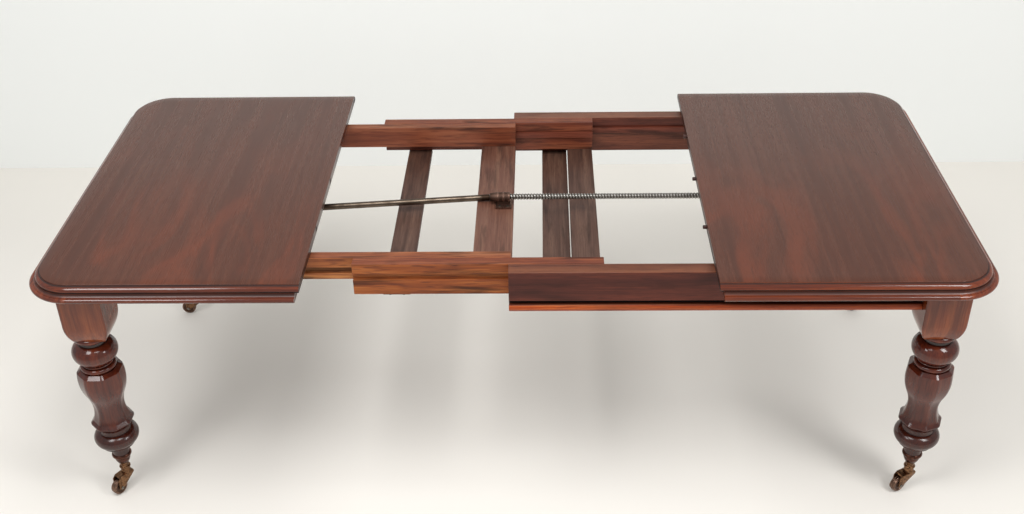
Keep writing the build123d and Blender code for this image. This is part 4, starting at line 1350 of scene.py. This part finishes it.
@dataclass
class Studio:
    """The plain pale room in metres: floor, wall, soft lamps and the camera at the photograph's angle.

    A lamp is its name, where it hangs, the point that it faces, its width and its power in watts.
    """

    focal_px: float = 1202.476
    image_px: int = 1024
    sensor_mm: float = 36.0
    pitch: float = 33.057
    yaw: float = 1.726
    roll: float = -1.202
    camera: Triple = (0.079242, -2.824275, 2.316475)
    wall_y: float = 1.41
    wall_height: float = 1.6
    reach: float = 6.0
    floor_colour: str = "efebe4"
    wall_colour: str = "f3f5f3"
    daylight: float = 0.56
    background: float = 0.88
    lamps: tuple[tuple[str, Triple, Triple, float, float], ...] = (
        ("left_softbox", (-1.65, -1.4, 2.6), (-1.45, -0.2, 0.4), 0.7, 27.0),
        ("right_softbox", (2.1, -1.4, 2.6), (1.3, -0.2, 0.4), 0.7, 36.0),
        ("middle_softbox", (-0.3, -1.0, 2.8), (-0.3, -0.8, 0.4), 0.8, 30.0),
    )

    def set_up(self, name: str, data: bpy.types.ID, axes: list[Array], at: Triple) -> Piece:
        """Puts a camera or lamp in its place.

        Args:
            name: Its name.
            data: The camera or lamp.
            axes: The directions of its own right, up and back.
            at: Its place.

        Returns:
            The new object.
        """
        holder = bpy.data.objects.new(name, data)
        matrix = np.eye(4)
        matrix[:3] = np.column_stack([*axes, at])
        holder.matrix_world = Matrix(matrix.tolist())
        bpy.context.scene.collection.objects.link(holder)
        return holder

    def make_camera(self) -> None:
        """Sets the camera by its pitch, yaw and roll, with the photograph's angle of view."""
        (cp, sp), (cy, sy), (cr, sr) = (
            (math.cos(math.radians(a)), math.sin(math.radians(a))) for a in (self.pitch, self.yaw, self.roll)
        )
        spin = np.array([[cy, -sy, 0], [sy, cy, 0], [0, 0, 1]])
        ahead, up, right = (spin @ np.array(v) for v in ((0, cp, -sp), (0, sp, cp), (1.0, 0, 0)))
        right, up = cr * right + sr * up, -sr * right + cr * up
        data = bpy.data.cameras.new("camera")
        data.sensor_fit = "HORIZONTAL"
        data.sensor_width = self.sensor_mm
        data.lens = self.focal_px / self.image_px * data.sensor_width
        bpy.context.scene.camera = self.set_up("camera", data, [right, up, -ahead], self.camera)

    def make_lamp(self, name: str, at: Triple, aim: Triple, size: float, watts: float) -> None:
        """Adds a soft lamp that is twice as long as it is wide.

        Args:
            name: The lamp's name.
            at: Where it hangs.
            aim: The point that it faces.
            size: Its width.
            watts: Its power.
        """
        data = bpy.data.lights.new(name, "AREA")
        data.shape = "RECTANGLE"
        data.size, data.size_y = size, 2 * size
        data.energy = watts
        away = np.array(at) - np.array(aim)
        away /= np.linalg.norm(away)
        side = np.cross(UP, away)
        side /= np.linalg.norm(side)
        self.set_up(name, data, [side, np.cross(away, side), away], at).visible_camera = False

    def make_sheet(self, name: str, corners: list[list[float]], colour: str) -> None:
        """Makes a flat matt sheet of the room.

        Args:
            name: The sheet's name.
            corners: Two rows of two corners.
            colour: Its colour.
        """
        shell = Shell()
        shell.grid(np.array(corners, float).reshape(2, 2, 3) / MM, closed=False, caps=False)
        sheet = shell.build(name)
        material, node = new_material(f"{name}_distemper_matt")
        chalk = {"Base Color": linear(colour), "Roughness": 0.8, "Specular IOR Level": 0.2}
        face, clear = node("BsdfPrincipled", chalk), node("BsdfTransparent")
        # A sheet is clear from behind, so that the table can be seen from every side
        behind = node("NewGeometry", out="Backfacing")
        node("OutputMaterial", {"Surface": node("MixShader", {0: behind, 1: face, 2: clear})})
        dress(sheet, material)

    def make_world(self) -> None:
        """Lights the room evenly and gives the camera a pale ground past the sheets."""
        world = bpy.data.worlds.new("even_daylight")
        bpy.context.scene.world = world
        world.use_nodes = True
        world.node_tree.nodes.clear()
        node = partial(add_node, world.node_tree)
        seen = node("LightPath", out="Is Camera Ray")
        level = node("Mix", {0: seen, 2: self.daylight, 3: self.background}, data_type="FLOAT")
        glow = node("Background", {"Color": (1.0, 1.0, 1.0, 1.0), "Strength": level})
        node("OutputWorld", {"Surface": glow})

    def make(self) -> None:
        """Sets up the room, its lamps and the camera."""
        r, y, z = self.reach, self.wall_y, self.wall_height
        self.make_sheet("floor", [[-r, -r, 0], [r, -r, 0], [-r, r, 0], [r, r, 0]], self.floor_colour)
        self.make_sheet("wall", [[-r, y, 0], [r, y, 0], [-r, y, z], [r, y, z]], self.wall_colour)
        self.make_world()
        for lamp in self.lamps:
            self.make_lamp(*lamp)
        self.make_camera()
        bpy.context.scene.view_settings.view_transform = "Standard"


# Finishes


def timber_finishes() -> dict[str, Timber]:
    """Gives the wood finishes by name, for pieces whose grain runs one way.

    Returns:
        Finishes by the record's slot names, and by two names of their own.
    """
    along, across, upward = Grain.ALONG_X, Grain.ALONG_Y, Grain.ALONG_Z
    rail = ("34110a", "4e2016", "682e1e")
    waxed = dict(roughness=0.36, gloss=0.3)
    runner = dict(pore=4, pore_length=60, pore_depth=0.6, roughness=0.45, gloss=0.3, stain=0.7)
    dusty = dict(roughness=0.5, gloss=0.4, stain=0.5)
    return {
        # French polish gives sharp lights on dark red; old oil streaks it, and the heads are rubbed paler
        "mahogany_leg": Timber(
            "mahogany_turned_polished", ("320f08", "501c0e", "6a2d17"), upward, 40, 200, 14, pore_depth=0.15,
            roughness=0.14, gloss=0.55, rubbed=("5a210d", "743317", "8c4722"),
            stain=0.3, dirt_roughness=0.25,
        ),
        # A dull wax over dark stain looks almost black in shade, and brown where it has worn
        "mahogany_rail": Timber(
            "mahogany_stained_rail", rail, along, 60, 700, 22,
            rubbed=("542a1a", "6e4029", "885538"), stain=0.4, **waxed,
        ),
        "end_rail": Timber("mahogany_stained_end_rail", rail, across, 60, 700, 22, **waxed),
        # A thin polish over unstained wood shows as a bright orange line
        "mahogany_bead": Timber(
            "mahogany_bead_polished", ("6c220c", "a04216", "c66a30"), along, 12, 500, 8,
            roughness=0.26, gloss=0.35, stain=0.4,
        ),
        # Planed and oiled runners are matt: brown above, orange on the faces that rub, black in streaks
        "mahogany_slide": Timber(
            "mahogany_oiled_runner", ("50241a", "6a3424", "804632"), along, 40, 300, 14,
            rubbed=("6c2e12", "98501f", "bc7840"), **runner,
        ),
        "oiled_slide": Timber(
            "mahogany_rubbed_runner", ("542618", "6e3624", "844a34"), along, 36, 300, 12,
            rubbed=("80401e", "ae6834", "cc8e56"), **runner,
        ),
        # Planed bars under the gap are grey-brown with dust, the wide one more worn than the others
        "rubbed_crossbar": Timber(
            "mahogany_dusty_crossbar", ("38221a", "4e3429", "64493b"), across, 30, 300, 12, **dusty
        ),
        "wide_crossbar": Timber(
            "mahogany_worn_crossbar", ("4e2e22", "644032", "7a5644"), across, 30, 300, 12, **dusty
        ),
        # Sawn pine is pale and dry
        "softwood": Timber(
            "pine_sawn_block", ("a07a48", "b8935c", "cfae78"), across, 20, 300, 8, roughness=0.65
        ),
        # Turned rosewood is nearly black
        "peg_wood": Timber(
            "rosewood_turned_peg", ("240e08", "3a1810", "4c2418"), along, 8, 60, 5, roughness=0.4
        ),
    }


def metal_finishes() -> dict[str, OldMetal]:
    """Gives the metal finishes by name.

    Returns:
        Finishes by the record's slot names, and by one name of its own.
    """
    return {
        # A cut thread stays bright on its crests, with oil between them
        "oiled_steel": OldMetal("steel_oiled_thread", "a4a19c", "56514b", 14, 0.34, film=0.3),
        # Cast iron is rough and brown
        "cast_iron": OldMetal("iron_cast_browned", "86695c", "382a23", 6, 0.5, pits=1.2, bump=0.5),
        # Drawn iron has a soft line of light under a brown film
        "rod_iron": OldMetal("iron_drawn_browned", "6a5e52", "35261d", 30, 0.36, film=0.5),
        # Small steel parts have dulled to grey
        "screw_steel": OldMetal("steel_dulled_screw", "8a847c", "4a433c", 3, 0.42),
        "castor_pin_steel": OldMetal("steel_dulled_pin", "8a847c", "4a433c", 4, 0.42),
        # Old cast brass is brown, golden where hands and floors rub it, and blackest on the cup
        "castor_brass": OldMetal("brass_aged_castor", "866449", "3a261c", 7, 0.28, film=0.6),
        "castor_cup": OldMetal("brass_blackened_cup", "5c3c32", "2c1b16", 9, 0.24),
        "castor_wheel": OldMetal("brass_browned_roller", "846858", "403029", 9, 0.32),
    }


def end_top(end: End) -> EndTop:
    """Plans one end's top with its finishes.

    Args:
        end: Which end.

    Returns:
        The top, not yet made.
    """
    moulding = ("3c130a", "5c2612", "7c3a1e") if end is End.LEFT else ("44180a", "6c2d12", "8e4420")
    # Wax on a wide board is a satin brown; the inner edge, never polished, is darker
    board = Timber(
        f"mahogany_waxed_{end.word}_top", ("412013", "4e2a1b", "5a3324"), Grain.ALONG_Y, 45, 1100, 14,
        roughness=0.27, gloss=0.42, flame="66311c", rubbed=("2a110a", "3a1a10", "4a2417"),
        offset=(0.37 * end.value, 0.0, 0.0),
    )
    # Polish on a moulding draws a sharp line of light along each round
    sides, across = (
        Timber(f"mahogany_moulded_{end.word}_{part}", moulding, grain, 20, 500, 9, roughness=0.11, gloss=0.6)
        for part, grain in (("sides", Grain.ALONG_X), ("end", Grain.ALONG_Y))
    )
    return EndTop(end, board, sides, across)


def dress_nodes(finishes: dict[str, Material]) -> None:
    """Gives every CAD node that still shows its slot's material, the end rails with grain across.

    Args:
        finishes: Materials by name.
    """
    for row in frame["record"]["subparts"]:
        node = frame["nodes"][row["node"]]
        if not node.hide_render:
            dress(node, finishes["end_rail" if row["node"].endswith("end_rail") else row["material_slot"]])


def main() -> None:
    """Builds the table's pieces and its room."""
    logging.basicConfig(level=logging.INFO, format="%(name)s: %(message)s")
    plans = {**timber_finishes(), **metal_finishes()}
    finishes = {name: finish.build() for name, finish in plans.items()}
    # A vase turns a flat to the front at the left and a corner at the right; the heads are set inwards
    leg_turns = {End.LEFT: (0.0, 10.0), End.RIGHT: (22.5, 8.0)}
    headings = {End.LEFT: (237.0, 180.0), End.RIGHT: (209.0, 0.0)}
    for end in End:
        end_top(end).make()
        for side in Side:
            TurnedLeg(end, side, *leg_turns[end]).make(finishes["mahogany_leg"])
    for end in End:
        for side, heading in zip(Side, headings[end]):
            Castor(end, side, heading).make(finishes)
    SlideFrame().make(finishes)
    WindingGear().make(finishes)
    dress_nodes(finishes)
    Studio().make()


if __name__ == "__main__":
    main()
